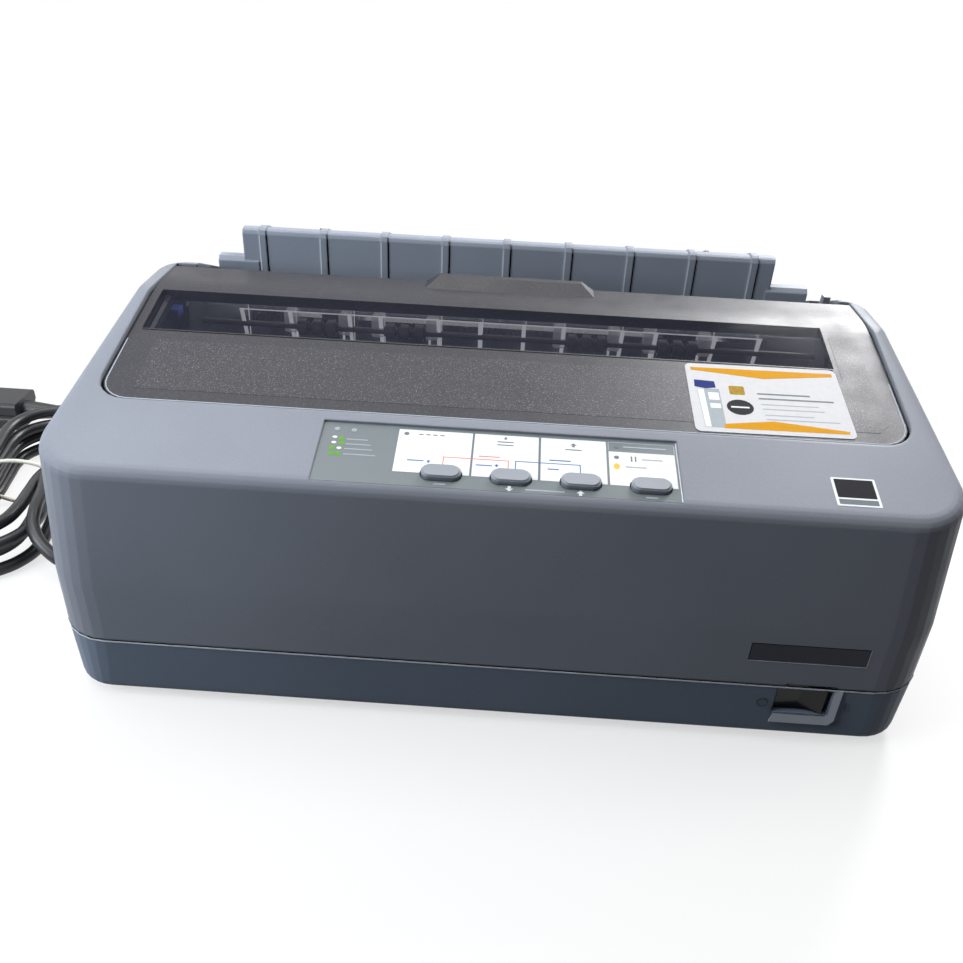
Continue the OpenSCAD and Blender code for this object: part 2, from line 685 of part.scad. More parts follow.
module panel_board() {
    on_slope() {
        color("#2f6b45") translate([-panel_half + 1, along(panel_front) + 2, switch_low - board_t])
            cube([2 * panel_half - 2, along(panel_rear - panel_front) - 2, board_t]);
        color(black) for (i = [0 : 3])
            translate([button_mid + (i - 1.5) * button_pitch - 3, button_s - 3, switch_low])
            cube([6, 6, button_low - button_travel - fit - switch_low]);
        // Studs that hang the board under the top
        color(nylon) for (x = [-58, -34, 60]) translate([x, along(20), switch_low]) cylinder(r = 2.5, h = 7.6);
    }
}

module button(i) color("#2c3036") on_slope()
    translate([button_mid + (i - 2.5) * button_pitch, button_s, 0]) {
        translate([0, 0, -5]) linear_extrude(6.6) oblong(button_w, button_d);
        translate([0, 0, 1.5]) linear_extrude(0.8, scale = 0.9) oblong(button_w - 0.2, button_d - 0.2, $fn = 24);
        translate([0, 0, -5.6]) linear_extrude(1) oblong(button_w + 3, button_d + 3);
        translate([0, 0, button_low]) cylinder(r = 2, h = 1);
    }

// ---------- power switch and connectors ----------

switch_y = y_front + 5.5;
switch_z = 23.6;
rocker_rise = 8;
rocker_pin_r = 1;
rocker_pin_low = switch_z - rocker_h / 2 - 1.5;

module switch_housing() color(black) difference() {
    block([switch_x - rocker_w / 2 - 1.8, y_front + wall + 1.6, 11], [switch_x + rocker_w / 2 + 1.8, y_front + 26, 30.6]);
    block([switch_x - rocker_w / 2 - 0.6, y_front - 1, switch_z - rocker_h / 2 - 0.4],
        [switch_x + rocker_w / 2 + 0.6, y_front + 14, switch_z + rocker_h / 2 + 0.4]);
    // Bearing of the rocker's pin
    translate([switch_x, switch_y, rocker_pin_low - 0.3]) cylinder(r = rocker_pin_r + run_gap, h = rocker_h);
}

// Rocker with a shallow V face, tilted about its upright pin
module power_rocker() color(black) translate([switch_x, switch_y, 0]) {
    translate([0, 0, switch_z - rocker_h / 2]) rotate([0, 0, -rocker_rise]) linear_extrude(rocker_h)
        polygon([[-rocker_w / 2 + 0.6, 4], [-rocker_w / 2 + 0.6, -3.6], [0, -1.6], [rocker_w / 2 - 0.6, -3.6],
            [rocker_w / 2 - 0.6, 4], [3, 6], [-3, 6]]);
    translate([0, 0, rocker_pin_low]) cylinder(r = rocker_pin_r, h = rocker_h);
}

module interface_connectors() color(steel) for (c = connectors)
    block([c[0], y_back - 19, board_top + 0.2], [c[1], y_back - 1.5, c[2]]);

// ---------- cover ----------

module printer_cover() color("#4b484c") {
    difference() {
        intersection() {
            top_band(0, cover_t, -bay_half, bay_half, bay_y, cover_back);
            translate([0, 0, 60]) linear_extrude(120) bay_outline(cover_gap, cover_back);
        }
        block([window_left, -window_front, 60], [window_right, -window_rear, 160]);
    }
    // Rim that stiffens the cover inside the bay
    intersection() {
        top_band(cover_t - 0.1, cover_t + 4, -bay_half, bay_half, bay_y, bend_y + 14);
        translate([0, 0, 60]) linear_extrude(120) difference() {
            bay_outline(cover_gap + 5.5, bend_y + 4);
            bay_outline(cover_gap + 7.5, bend_y - 1);
        }
    }
    // Raised lip in the middle of the rear edge, with slanted ends
    hull() {
        block([-lip_half - 3, cover_back - 11, top_z - 0.4], [lip_half + 3, cover_back, top_z - 0.1]);
        block([-lip_half + 3, cover_back - 3.5, top_z + lip_rise - 0.1], [lip_half - 3, cover_back, top_z + lip_rise]);
    }
    // Hinge ears and pins
    both_sides() {
        across(ear_in, ear_in + ear_t) polygon([[hinge_y - 3, top_z - cover_t + 0.2], [hinge_y + 3, top_z - cover_t + 0.2],
            [hinge_y + 2.6, hinge_z - 2], [hinge_y + 1, hinge_z - 3], [hinge_y - 1, hinge_z - 3], [hinge_y - 2.6, hinge_z - 2]]);
        bar(hinge_r, ear_in + 0.5, bracket_in + bracket_t - 0.2, hinge_y, hinge_z);
    }
}

module cover_window() color([0.25, 0.24, 0.27, 0.45])
    top_band(0.1, cover_t - 0.1, window_left + 0.15, window_right - 0.15, -window_front + 0.15, -window_rear - 0.15);

// ---------- paper guide ----------

// Fence, crest and deck of the guide, grow taken off all round
module guide_line(grow) polygon([
    [guide_y + grow, post_z - 10], [guide_y + grow, crest_z - 3], [guide_y + 0.9 + grow * 0.7, crest_z - 0.9 - grow * 0.7],
    [guide_y + 3, crest_z - grow], [guide_y + crest_l, crest_z - grow], [deck_end, deck_at(deck_end) - grow],
    [deck_end, deck_at(deck_end) - guide_t], [guide_y + crest_l - 0.4, crest_z - guide_t],
    [guide_y + guide_t, crest_z - guide_t], [guide_y + guide_t, post_z - 10]]);

module paper_guide() color(grey) difference() {
    union() {
        translate([-guide_shift, 0, 0]) {
            across(-guide_half, guide_half) guide_line(0.7);
            for (i = [0 : strips - 1]) translate([(i - (strips - 1) / 2) * strip_pitch, 0, 0])
                across(-strip_w / 2, strip_w / 2) guide_line(0);
            // End cheeks
            both_sides() across(guide_half - 2.5, guide_half) polygon([
                [guide_y + 0.8, post_z - 10], [guide_y + 0.8, crest_z - 4], [guide_y + 4, crest_z - 1],
                [guide_y + crest_l, crest_z - 1], [deck_end, deck_at(deck_end) - 1], [deck_end, deck_at(deck_end) - 8],
                [post_y + 12, deck_at(post_y + 12) - 14], [guide_y + 12, post_z - 10]]);
        }
        both_sides() {
            // Shoulders
            across(guide_half - guide_shift - 2, shoulder_half) polygon([[guide_y, post_z + 6], [guide_y, shoulder_z - 2],
                [guide_y + 2, shoulder_z], [guide_y + crest_l, shoulder_z], [post_y + 10, shoulder_z - 9],
                [post_y + 10, shoulder_z - 12], [guide_y + crest_l, shoulder_z - 3], [guide_y + 3, shoulder_z - 3],
                [guide_y + 3, post_z + 6]]);
            // Ears that turn on the posts
            across(frame_in - 7.4, frame_in - 3.4) polygon([[post_y - 9, shoulder_z - 4], [post_y + 8, shoulder_z - 9],
                [post_y + 6, post_z - 3], [post_y + 2.5, post_z - 6.2], [post_y - 2.5, post_z - 6.2], [post_y - 6, post_z - 3]]);
        }
    }
    bar(post_r + run_gap, -frame_out, frame_out, post_y, post_z);
}

// Low edge guide that slides on the deck; s is the side it fences
module edge_guide(s, x) color(dark_grey) {
    y0 = 92;
    y1 = 126;
    across(min(x, x - s * edge_foot), max(x, x - s * edge_foot)) polygon([[y0, deck_at(y0) + 0.3],
        [y1, deck_at(y1) + 0.3], [y1, deck_at(y1) + 1.8], [y0, deck_at(y0) + 1.8]]);
    across(min(x, x + s * 2), max(x, x + s * 2)) polygon([[y0, deck_at(y0) + 0.3], [y1, deck_at(y1) + 0.3],
        [y1, deck_at(y1) + 5.5], [y0 + 6, deck_at(y0 + 6) + 5.5], [y0, deck_at(y0) + 2.5]]);
}

// ---------- platen and paper feed ----------

module platen_roller() color(black) difference() {
    bar(platen_r, -platen_half, platen_half, platen_y, platen_z);
    bar(platen_shaft_r + 0.03, -platen_half - 1, platen_half + 1, platen_y, platen_z);
}

module platen_shaft() color(steel) bar(platen_shaft_r, -frame_out - 3, gear_x + gear_t + 8, platen_y, platen_z);

module platen_gear() color(nylon) gear(gear_x, platen_y, platen_z, platen_teeth, 0, platen_shaft_r + 0.03);

knob_x = gear_x + gear_t + 3;
module platen_knob() color(black) difference() {
    bar(knob_r, knob_x, half_w, platen_y, platen_z);
    bar(platen_shaft_r + 0.03, knob_x - 1, knob_x + 5.1, platen_y, platen_z);
    for (a = [0 : 15 : 345]) translate([knob_x - 1, platen_y, platen_z]) rotate([a, 0, 0])
        translate([0, knob_r + 0.6, 0]) rotate([0, 90, 0]) cylinder(r = 1.3, h = half_w - knob_x + 2);
    bar(knob_r - 4, half_w - 1.2, half_w + 1, platen_y, platen_z);
}

module idler_gear() color(nylon) gear(gear_x, idler_y, idler_z, idler_teeth, idler_phase, 2.5 + run_gap);

module feed_pinion() color("#c2b280") gear(gear_x, pinion_y, pinion_z, pinion_teeth, pinion_phase, 1.5 + run_gap);

module tractor_shaft() {
    color(steel) {
        bar(tractor_sq * 0.75, -frame_out - 1, -frame_in + 2, tractor_y, tractor_z);
        bar(tractor_sq * 0.75, frame_in - 2, gear_x + gear_t, tractor_y, tractor_z);
        block([-frame_in + 1, tractor_y - tractor_sq / 2, tractor_z - tractor_sq / 2],
            [frame_in - 1, tractor_y + tractor_sq / 2, tractor_z + tractor_sq / 2]);
    }
    color(nylon) gear(gear_x, tractor_y, tractor_z, tractor_teeth, tractor_phase, tractor_sq * 0.75 - 0.5);
}

module tractor_rail() color(steel) bar(rail_r, -frame_out - 1, frame_out + 1, rail_y, tractor_z);

// Body of one tractor, hollow round its sprocket; s is the side that its door turns up on
module tractor(x, s) color(dark_grey) translate([x, 0, 0]) mirror([s < 0 ? 1 : 0, 0, 0]) difference() {
    union() {
        across(-tractor_w / 2, tractor_w / 2) polygon([[tractor_y - 18, tractor_z - 9], [tractor_y - 13, tractor_z - 15],
            [rail_y + 4, tractor_z - 15], [rail_y + 8, tractor_z - 8], [rail_y + 8, tractor_z + 6],
            [rail_y + 3, tractor_z + 11], [tractor_y - 13, tractor_z + 11], [tractor_y - 18, tractor_z + 5]]);
        // Lugs of the door's hinge
        for (y = [door_front - 2.8, door_rear + 0.3])
            block([door_pin_x - 2.5, y, tractor_z + 5], [door_pin_x + 1.9, y + 2.5, door_z + 2]);
    }
    block([-4.2, tractor_y - 13.2, tractor_z - 13.2], [4.2, tractor_y + 13.2, tractor_z + 20]);
    bar(tractor_sq * 0.75 + 1.2 + run_gap, -tractor_w, tractor_w, tractor_y, tractor_z);
    bar(rail_r + run_gap, -tractor_w, tractor_w, rail_y, tractor_z);
    translate([door_pin_x, door_rear + 4, door_z]) rotate([90, 0, 0])
        cylinder(r = door_pin_r + run_gap, h = door_rear - door_front + 8);
}

module sprocket(x) color(nylon) translate([x, 0, 0]) difference() {
    union() {
        bar(8.6, -2.6, 2.6, tractor_y, tractor_z);
        bar(tractor_sq * 0.75 + 1.2, -tractor_w / 2, tractor_w / 2, tractor_y, tractor_z);
        for (i = [0 : sprocket_pins - 1]) translate([0, tractor_y, tractor_z])
            rotate([i * 360 / sprocket_pins, 0, 0]) translate([0, 0, 7]) cylinder(r = 1.5, h = pin_tip - 7.1);
    }
    block([-20, tractor_y - tractor_sq / 2 - 0.15, tractor_z - tractor_sq / 2 - 0.15],
        [20, tractor_y + tractor_sq / 2 + 0.15, tractor_z + tractor_sq / 2 + 0.15]);
}

// Door over the pins, hinged on the tractor's outer top edge; s is the side
module tractor_door(x, s) color(grey) translate([x, 0, 0]) mirror([s < 0 ? 1 : 0, 0, 0]) {
    difference() {
        block([-tractor_w / 2, door_front, door_z - 0.9], [door_pin_x, door_rear, door_z + 0.9]);
        block([-3, tractor_y - 10, door_z - 2], [3, tractor_y + 10, door_z + 2]);
    }
    // Finger tab
    block([-tractor_w / 2 - 2, tractor_y - 4, door_z - 0.5], [-tractor_w / 2 + 1, tractor_y + 6, door_z + 0.9]);
    // Barrel and pins of the hinge
    translate([door_pin_x, door_rear, door_z]) rotate([90, 0, 0]) cylinder(r = 1.7, h = door_rear - door_front);
    translate([door_pin_x, door_rear + 2.6, door_z]) rotate([90, 0, 0])
        cylinder(r = door_pin_r, h = door_rear - door_front + 5.2);
}

module tractor_lock(x, s) color(black) translate([x + s * (tractor_w / 2 + 0.3), 0, 0])
    mirror([s < 0 ? 1 : 0, 0, 0]) difference() {
        across(0, 3) union() {
            translate([rail_y, tractor_z]) circle(r = 5.6);
            polygon([[rail_y - 1, tractor_z + 4], [rail_y + 4, tractor_z + 2], [rail_y + 11, tractor_z + 8],
                [rail_y + 8, tractor_z + 11]]);
        }
        bar(rail_r + run_gap, -1, 5, rail_y, tractor_z);
    }

// ---------- carriage ----------

module carriage() color(dark_grey) translate([-park, 0, 0]) difference() {
    union() {
        across(-26, 26) polygon([[slide_y - 9, slide_z - 9], [slide_y + 9, slide_z - 9], [slide_y + 12, slide_z],
            [-9, 74], [-9, carriage_top], [-56, carriage_top], [-60, 76], [-60, 48.4], [-50, 48.4], [-48, 56]]);
        // Jaws on the belt
        block([-12, belt_y + pulley_r + belt_t + fit, belt_z - 5], [12, -55, belt_z + 5]);
        block([-12, belt_y + pulley_r - 2.3, belt_z - 5], [12, belt_y + pulley_r - fit, belt_z + 7]);
        block([-12, belt_y + pulley_r - 2.3, belt_z + 3.4], [12, -55, belt_z + 7]);
    }
    bar(slide_r + run_gap, -30, 30, slide_y, slide_z);
    block([-14, slide_y - 12, slide_z + 7], [14, slide_y + 20, carriage_top - 3]);
}

module print_head() color("#2b2b2d") translate([-park, 0, 0]) {
    across(-7, 7) polygon([[-12, platen_z - 8], [nose_y - 5, platen_z - 7], [nose_y, platen_z - 3],
        [nose_y, platen_z + 3], [nose_y - 5, platen_z + 7], [-12, platen_z + 9]]);
    block([-17, -30, platen_z - 8], [17, -11.5, platen_z + 9]);
    for (i = [0 : 8]) block([-17.2 + i * 4, -32, platen_z - 8], [-15.6 + i * 4, -14, platen_z + 13]);
}

module ribbon_cartridge() translate([-park, 0, 0]) {
    color(black) {
        difference() {
            block([-cartridge_half, -60, carriage_top + fit], [cartridge_half, -33, carriage_top + 20]);
            translate([-28, -46, carriage_top + 6]) cylinder(r = 3 + run_gap, h = 30);
            for (x = [-16 : 8 : 36]) block([x, -58, carriage_top + 19], [x + 2, -36, carriage_top + 22]);
        }
        both_sides() difference() {
            block([cartridge_half - 14, -34, carriage_top + 2], [cartridge_half, -4, carriage_top + 16]);
            block([cartridge_half - 12, -30, carriage_top + 14.5], [cartridge_half - 2, -8, carriage_top + 18]);
        }
    }
    // Ribbon that passes between the print head and the platen
    color("#101012") translate([0, 0, carriage_top + 3]) linear_extrude(12) polygon([
        [-cartridge_half + 13, -5.2], [-12, nose_y + 0.35], [12, nose_y + 0.35], [cartridge_half - 13, -5.2],
        [cartridge_half - 13, -5.4], [12, nose_y + 0.2], [-12, nose_y + 0.2], [-cartridge_half + 13, -5.4]]);
}

module ribbon_knob() color("#3a3d42") translate([-park - 28, -46, 0]) difference() {
    union() {
        translate([0, 0, carriage_top + 8]) cylinder(r = 3, h = 14);
        translate([0, 0, carriage_top + 20.3]) cylinder(r = 7, h = 5);
    }
    for (a = [0 : 30 : 330]) rotate(a) translate([7.6, 0, carriage_top + 19]) cylinder(r = 1.3, h = 8);
}

module pulley(x, bore) color(nylon) translate([x, belt_y, belt_z]) difference() {
    union() {
        translate([0, 0, -3.4]) cylinder(r = pulley_r - 0.1, h = 6.8);
        for (z = [-4, 3.2]) translate([0, 0, z]) cylinder(r = pulley_r + 1.5, h = 0.8);
    }
    translate([0, 0, -5]) cylinder(r = bore + run_gap, h = 10);
}

module timing_belt() color(black) translate([0, belt_y, belt_z - 2.8]) linear_extrude(5.6) difference() {
    oblong(2 * (belt_half + pulley_r + belt_t), 2 * (pulley_r + belt_t));
    oblong(2 * (belt_half + pulley_r), 2 * pulley_r);
}

// ---------- levers ----------

module thickness_lever() color("#3b4da0") difference() {
    union() {
        translate([0, thickness_y, thickness_z]) {
            across(-frame_out - 11.5, -frame_out - 8)
                polygon([[-4, -5], [4, -5], [4, 4], [-1.5, 26], [-6, 26], [-4, 4]]);
            // Thumb piece
            block([-frame_out - 13, -8.5, 24.5], [-frame_out - 6, -1, 29]);
        }
    }
    bar(lever_stud + run_gap, -frame_out - 20, -frame_out, thickness_y, thickness_z);
}

module release_lever() color(dark_grey) difference() {
    translate([0, release_y, release_z]) across(frame_out + 0.8, frame_out + 4)
        polygon([[-4, -4], [4, -4], [4, 4], [-2, 8], [-4.5, 22], [-8.5, 22], [-7.5, 5]]);
    bar(lever_stud + run_gap, frame_out, frame_out + 8, release_y, release_z);
}

// ---------- power cord ----------

// Tapered sleeve with a collar outside the rear wall
module strain_relief() color(black) difference() {
    translate([exit_x, 0, exit_z]) rotate([-90, 0, 0]) rotate_extrude() polygon([
        [0, y_back - 8], [relief_r, y_back - 8], [relief_r, y_back + 0.2], [relief_r + 2, y_back + 0.2],
        [relief_r + 2, y_back + 2.5], [relief_r, y_back + 3], [cord_d / 2 + 0.9, relief_end], [0, relief_end]]);
    for (i = [0 : 3]) for (s = [-1, 1]) translate([exit_x + s * 6.4, y_back + 7 + i * 5, exit_z])
        cube([5, 2, 7], center = true);
}

module power_cord() color(black) tube(cord_route, cord_d / 2, 8);

module cord_hank() color(black)
    tube(concat([hank_start], [for (k = [0 : hank_last]) hank_point(k)], [hank_end]), cord_d / 2, 6);

module plug_lead() color(black) tube(lead_route, cord_d / 2, 8);

// Moulded plug that lies on its side, with two flat blades and a round pin
module power_plug() color(black) translate(plug_at) rotate([0, -90, 0]) {
    cylinder(r1 = cord_d / 2 + 0.9, r2 = 6.5, h = 21);
    translate([0, 0, 20]) linear_extrude(26) difference() {
        offset(3) square([12.8, 20], center = true);
        for (s = [-1, 1]) translate([0, s * 14]) circle(r = 2.5);
    }
    color(steel) {
        for (s = [-1, 1]) translate([-3.1, s * 6.35 - 0.75, 45]) cube([6.2, 1.5, 17]);
        translate([5.6, 0, 45]) cylinder(r = 2.4, h = 19);
    }
}

union() {  // cord_hank
    fine = [for (k = [0 : 0.5 : hank_last]) hank_point(k)];
    echo(hank_least_gap = min([for (i = [0 : len(fine) - 14]) for (j = [i + 13 : len(fine) - 1])
        norm(fine[i] - fine[j])]) - cord_d);
    hank = [for (k = [0 : hank_last]) hank_point(k)];
    lengths = [for (route = [cord_route, concat([hank_start], hank, [hank_end]), lead_route])
        [for (i = [1 : len(route) - 1]) norm(route[i] - route[i - 1])] * [for (i = [1 : len(route) - 1]) 1]];
    echo(cord_lengths = lengths, whole = lengths * [1, 1, 1]);
}

// ---------- assembly ----------
lower_case();
upper_case();
rubber_feet();
base_pan();
side_frame_left();
side_frame_right();
carriage_shaft();
carriage_rail();
main_board();
power_supply();
feed_motor();
carriage_motor();
platen_bushes();
panel_board();
panel_plate();
interface_connectors();
switch_housing();
hinge_brackets();
eject_frame();
tractor_rail();
timing_belt();
printer_cover();
cover_window();
paper_guide();
edge_guide(-1, -108);  // edge_guide_left
edge_guide(1, 108);  // edge_guide_right
platen_roller();
platen_shaft();
platen_gear();
platen_knob();
idler_gear();
feed_pinion();
tractor_shaft();
tractor(-tractor_x, -1);  // tractor_left
tractor(tractor_x, 1);  // tractor_right
sprocket(-tractor_x);  // sprocket_left
sprocket(tractor_x);  // sprocket_right
tractor_door(-tractor_x, -1);  // tractor_door_left
tractor_door(tractor_x, 1);  // tractor_door_right
tractor_lock(-tractor_x, -1);  // tractor_lock_left
tractor_lock(tractor_x, 1);  // tractor_lock_right
tension_rollers();
carriage();
print_head();
ribbon_cartridge();
ribbon_knob();
pulley(belt_half, 1.5);  // drive_pulley
pulley(-belt_half, 1.5);  // idler_pulley
thickness_lever();
release_lever();
button(1);  // button_1
button(2);  // button_2
button(3);  // button_3
button(4);  // button_4
power_rocker();
strain_relief();
power_cord();
cord_hank();
plug_lead();
power_plug();
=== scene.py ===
"""Looks of the dot matrix printer: camera, materials, cord, fine pieces on the case and light."""

import math

import bpy
from mathutils import Matrix, Vector


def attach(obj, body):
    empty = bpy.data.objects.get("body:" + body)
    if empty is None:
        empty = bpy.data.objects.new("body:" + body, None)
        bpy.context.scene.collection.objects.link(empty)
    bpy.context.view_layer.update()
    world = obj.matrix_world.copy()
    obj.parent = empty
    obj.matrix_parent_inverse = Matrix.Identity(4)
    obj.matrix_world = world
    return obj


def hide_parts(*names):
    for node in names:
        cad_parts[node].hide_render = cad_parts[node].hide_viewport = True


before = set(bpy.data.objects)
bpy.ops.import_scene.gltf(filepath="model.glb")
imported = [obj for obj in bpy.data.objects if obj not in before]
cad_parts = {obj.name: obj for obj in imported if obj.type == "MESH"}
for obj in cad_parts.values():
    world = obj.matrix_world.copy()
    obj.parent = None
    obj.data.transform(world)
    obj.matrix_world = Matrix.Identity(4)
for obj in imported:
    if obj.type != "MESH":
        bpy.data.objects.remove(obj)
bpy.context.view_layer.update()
MM = 0.001

# ---------- sizes that the pieces share with the solids, in millimetres ----------

Y_FRONT = -137.5
BROW_Z = 111.5
SLOPE = math.radians(14.2)
SIN, COS = math.sin(SLOPE), math.cos(SLOPE)
HALF_W = 178.0
PART_Z = 32.0
CORNER_FRONT = 23.0
CORNER_REAR = 14.0
BUTTON_X = (-20.4, 5.2, 30.8, 56.4)
BUTTON_Y = -126.9
BUTTON_W = 14.7
BUTTON_D = 6.4
COVER_HALF = 159.8
COVER_Y = -97.1
COVER_R = 12.0
GUIDE_Y = 30.0
GUIDE_SHIFT = -2.7
STRIPS = 9
STRIP_PITCH = 30.4
STRIP_W = 3.5
PLATE_Y = 6.0
RIB_X = (-128, -104.7, -76, -61, -33, -13, 8, 27, 55, 71, 99, 120)
CLUSTER_X = (-92, -49.5, 38.5, 82)


def mm(*values):
    return Vector([v * MM for v in values])


def slope_point(x, y, above):
    """Point over the sloping top: x and y as seen from above, above square to the slope."""
    z = BROW_Z + math.tan(SLOPE) * (y - Y_FRONT)
    return mm(x, y - above * SIN, z + above * COS)


def upright(face_y):
    """Places over an upright face: u to the right, v up and h out of it, towards the front."""
    return lambda u, v, h: mm(u, face_y - h, v)


# ---------- camera, solved from the outline in the photograph ----------

CAMERA_AT = mm(2.02, -408.41, 284.2)
PITCH = math.radians(31.43)
YAW = math.radians(-1.51)
ROLL = math.radians(2.85)
LENS = 33.67
SENSOR = 36.0
NEAREST = 0.01


def make_camera():
    across = math.cos(PITCH)
    ahead = Vector((math.sin(YAW) * across, math.cos(YAW) * across, -math.sin(PITCH)))
    level = Vector((math.cos(YAW), -math.sin(YAW), 0))
    over = level.cross(ahead)
    right = level * math.cos(ROLL) + over * math.sin(ROLL)
    up = over * math.cos(ROLL) - level * math.sin(ROLL)
    data = bpy.data.cameras.new("camera")
    data.lens = LENS
    data.sensor_width = SENSOR
    data.clip_start = NEAREST
    camera = bpy.data.objects.new("camera", data)
    turn = Matrix((right, up, -ahead)).transposed()
    camera.matrix_world = Matrix.Translation(CAMERA_AT) @ turn.to_4x4()
    bpy.context.collection.objects.link(camera)
    bpy.context.scene.camera = camera


make_camera()

# ---------- materials: lengths in metres, scales of noise in bumps a metre ----------

BLACK = (0, 0, 0, 1)
WHITE = (1, 1, 1, 1)
# Between these two values lies nearly all of a noise
NOISE_LOW = 0.3
NOISE_HIGH = 0.7
BEVEL_SAMPLES = 6
EASE = 0.0001
PRINT_SPECULAR = 0.02
# On the boards, steel lies below the first height and black parts stand above the second
STEEL_TOP = 0.0145
PARTS_FOOT = 0.0162
# The plug's blades lie to the left of its face
PLUG_FACE_X = -0.33105


def colour(red, green, blue):
    """Linear colour from the eight-bit values that the eye sees on a screen."""
    def linear(v):
        v /= 255
        return v / 12.92 if v <= 0.04045 else ((v + 0.055) / 1.055) ** 2.4

    return (linear(red), linear(green), linear(blue), 1)


def scaled(shade, factor):
    return tuple(min(1, c * factor) for c in shade[:3]) + (1,)


class Maker:
    """Small helper that adds nodes to one material."""

    def __init__(self, name):
        self.material = bpy.data.materials.new(name)
        self.material.use_nodes = True
        self.nodes = self.material.node_tree.nodes
        self.links = self.material.node_tree.links
        self.shader = self.nodes["Principled BSDF"]
        self.place = self.nodes.new("ShaderNodeTexCoord").outputs["Object"]

    def link(self, source, target):
        self.links.new(source, target)

    def set(self, name, value):
        self.shader.inputs[name].default_value = value

    def noise(self, scale, detail, rough=0.5, stretch=None):
        """Grey noise; stretch thins it along an axis."""
        node = self.nodes.new("ShaderNodeTexNoise")
        node.inputs["Scale"].default_value = scale
        node.inputs["Detail"].default_value = detail
        node.inputs["Roughness"].default_value = rough
        place = self.place
        if stretch:
            mapping = self.nodes.new("ShaderNodeMapping")
            mapping.inputs["Scale"].default_value = stretch
            self.link(place, mapping.inputs["Vector"])
            place = mapping.outputs["Vector"]
        self.link(place, node.inputs["Vector"])
        return node.outputs["Fac"]

    def ramp(self, source, first, last):
        """Colour along a grey input; each stop is a place from 0 to 1 and a colour."""
        node = self.nodes.new("ShaderNodeValToRGB")
        for element, (at, shade) in zip(node.color_ramp.elements, (first, last)):
            element.position = at
            element.color = shade
        self.link(source, node.inputs["Fac"])
        return node.outputs["Color"]

    def shades(self, source, shade, dark, pale, last=NOISE_HIGH):
        """One colour that goes with a noise from a darker to a paler form."""
        return self.ramp(source, (NOISE_LOW, scaled(shade, dark)), (last, scaled(shade, pale)))

    def mix(self, factor, first, second):
        """The first colour where the factor is 0 and the second where it is 1."""
        node = self.nodes.new("ShaderNodeMix")
        node.data_type = "RGBA"
        sockets = [socket for socket in node.inputs if socket.type == "RGBA"]
        for socket, value in zip(sockets, (first, second)):
            if isinstance(value, tuple):
                socket.default_value = value
            else:
                self.link(value, socket)
        self.link(factor, node.inputs["Factor"])
        return [socket for socket in node.outputs if socket.type == "RGBA"][0]

    def spread(self, source, low, high, out_low, out_high):
        """Grey input between low and high, brought to lie between the two other values."""
        node = self.nodes.new("ShaderNodeMapRange")
        names = ("From Min", "From Max", "To Min", "To Max")
        for name, value in zip(names, (low, high, out_low, out_high)):
            node.inputs[name].default_value = value
        self.link(source, node.inputs["Value"])
        return node.outputs["Result"]

    def past(self, axis, at, way):
        """1 past a place on an axis and 0 before it; way is 1 along the axis, -1 against it."""
        split = self.nodes.new("ShaderNodeSeparateXYZ")
        self.link(self.place, split.inputs[0])
        return self.spread(split.outputs[axis], at - way * EASE, at + way * EASE, 0, 1)

    def base(self, source):
        self.link(source, self.shader.inputs["Base Color"])

    def rough(self, source, low, high, last=NOISE_HIGH):
        """Roughness that goes with a noise from low to high."""
        result = self.spread(source, NOISE_LOW, last, low, high)
        self.link(result, self.shader.inputs["Roughness"])

    def soften(self, radius):
        """Evens out the shading over the small facets of a rounded edge."""
        node = self.nodes.new("ShaderNodeBevel")
        node.samples = BEVEL_SAMPLES
        node.inputs["Radius"].default_value = radius
        self.link(node.outputs["Normal"], self.shader.inputs["Normal"])

    def bump(self, source, depth, distance):
        """Relief on top of what already shapes the surface."""
        node = self.nodes.new("ShaderNodeBump")
        node.inputs["Strength"].default_value = depth
        node.inputs["Distance"].default_value = distance
        self.link(source, node.inputs["Height"])
        normal = self.shader.inputs["Normal"]
        if normal.is_linked:
            self.link(normal.links[0].from_socket, node.inputs["Normal"])
        self.link(node.outputs["Normal"], normal)


def moulded(name, shade, rough, grain=1600, depth=0.25, vary=0.06, specular=0.5, soft_edge=0.0):
    """Moulded plastic: a fine spark-eroded grain whose paler tips are painted glints, slow changes
    of shade, handled patches.
    """
    m = Maker(name)
    if soft_edge:
        m.soften(soft_edge)
    fine = m.noise(grain, detail=1)
    body = m.shades(m.noise(14, detail=3), shade, dark=1 - vary, pale=1 + vary)
    # The paler tips of the grain are painted glints.
    painted_glints = m.spread(fine, 0.35, 0.65, 0, 0.22)
    m.base(m.mix(painted_glints, body, scaled(shade, 1.22)))
    m.rough(m.noise(55, detail=3), rough - 0.05, rough + 0.06)
    m.bump(fine, depth, distance=0.00012)
    m.bump(m.noise(grain * 0.35, detail=2), depth * 0.5, distance=0.00018)
    m.set("Specular IOR Level", specular)
    return m.material


def speckled(name, shade, flecks, share, rough, grain):
    """Smoked plastic with pale flecks close together."""
    m = Maker(name)
    fine = m.noise(grain, detail=2, rough=0.6)
    dots = m.ramp(fine, (share, BLACK), (share + 0.06, WHITE))
    slow = m.shades(m.noise(10, detail=3), shade, dark=0.93, pale=1.08)
    m.base(m.mix(dots, slow, flecks))
    m.rough(m.noise(60, detail=2), rough - 0.06, rough + 0.08)
    m.bump(fine, 0.5, distance=0.00015)
    m.set("Specular IOR Level", 0.44)
    return m.material


def sheet_metal(name, shade, rough=0.36, drawn=(1, 90, 90)):
    """Plated or rolled steel with a faint drawn grain."""
    m = Maker(name)
    grain = m.noise(60, detail=3, rough=0.6, stretch=drawn)
    m.base(m.shades(grain, shade, dark=0.86, pale=1.1))
    m.rough(grain, rough - 0.07, rough + 0.1)
    m.set("Metallic", 1.0)
    m.bump(grain, 0.12, distance=0.0001)
    return m.material


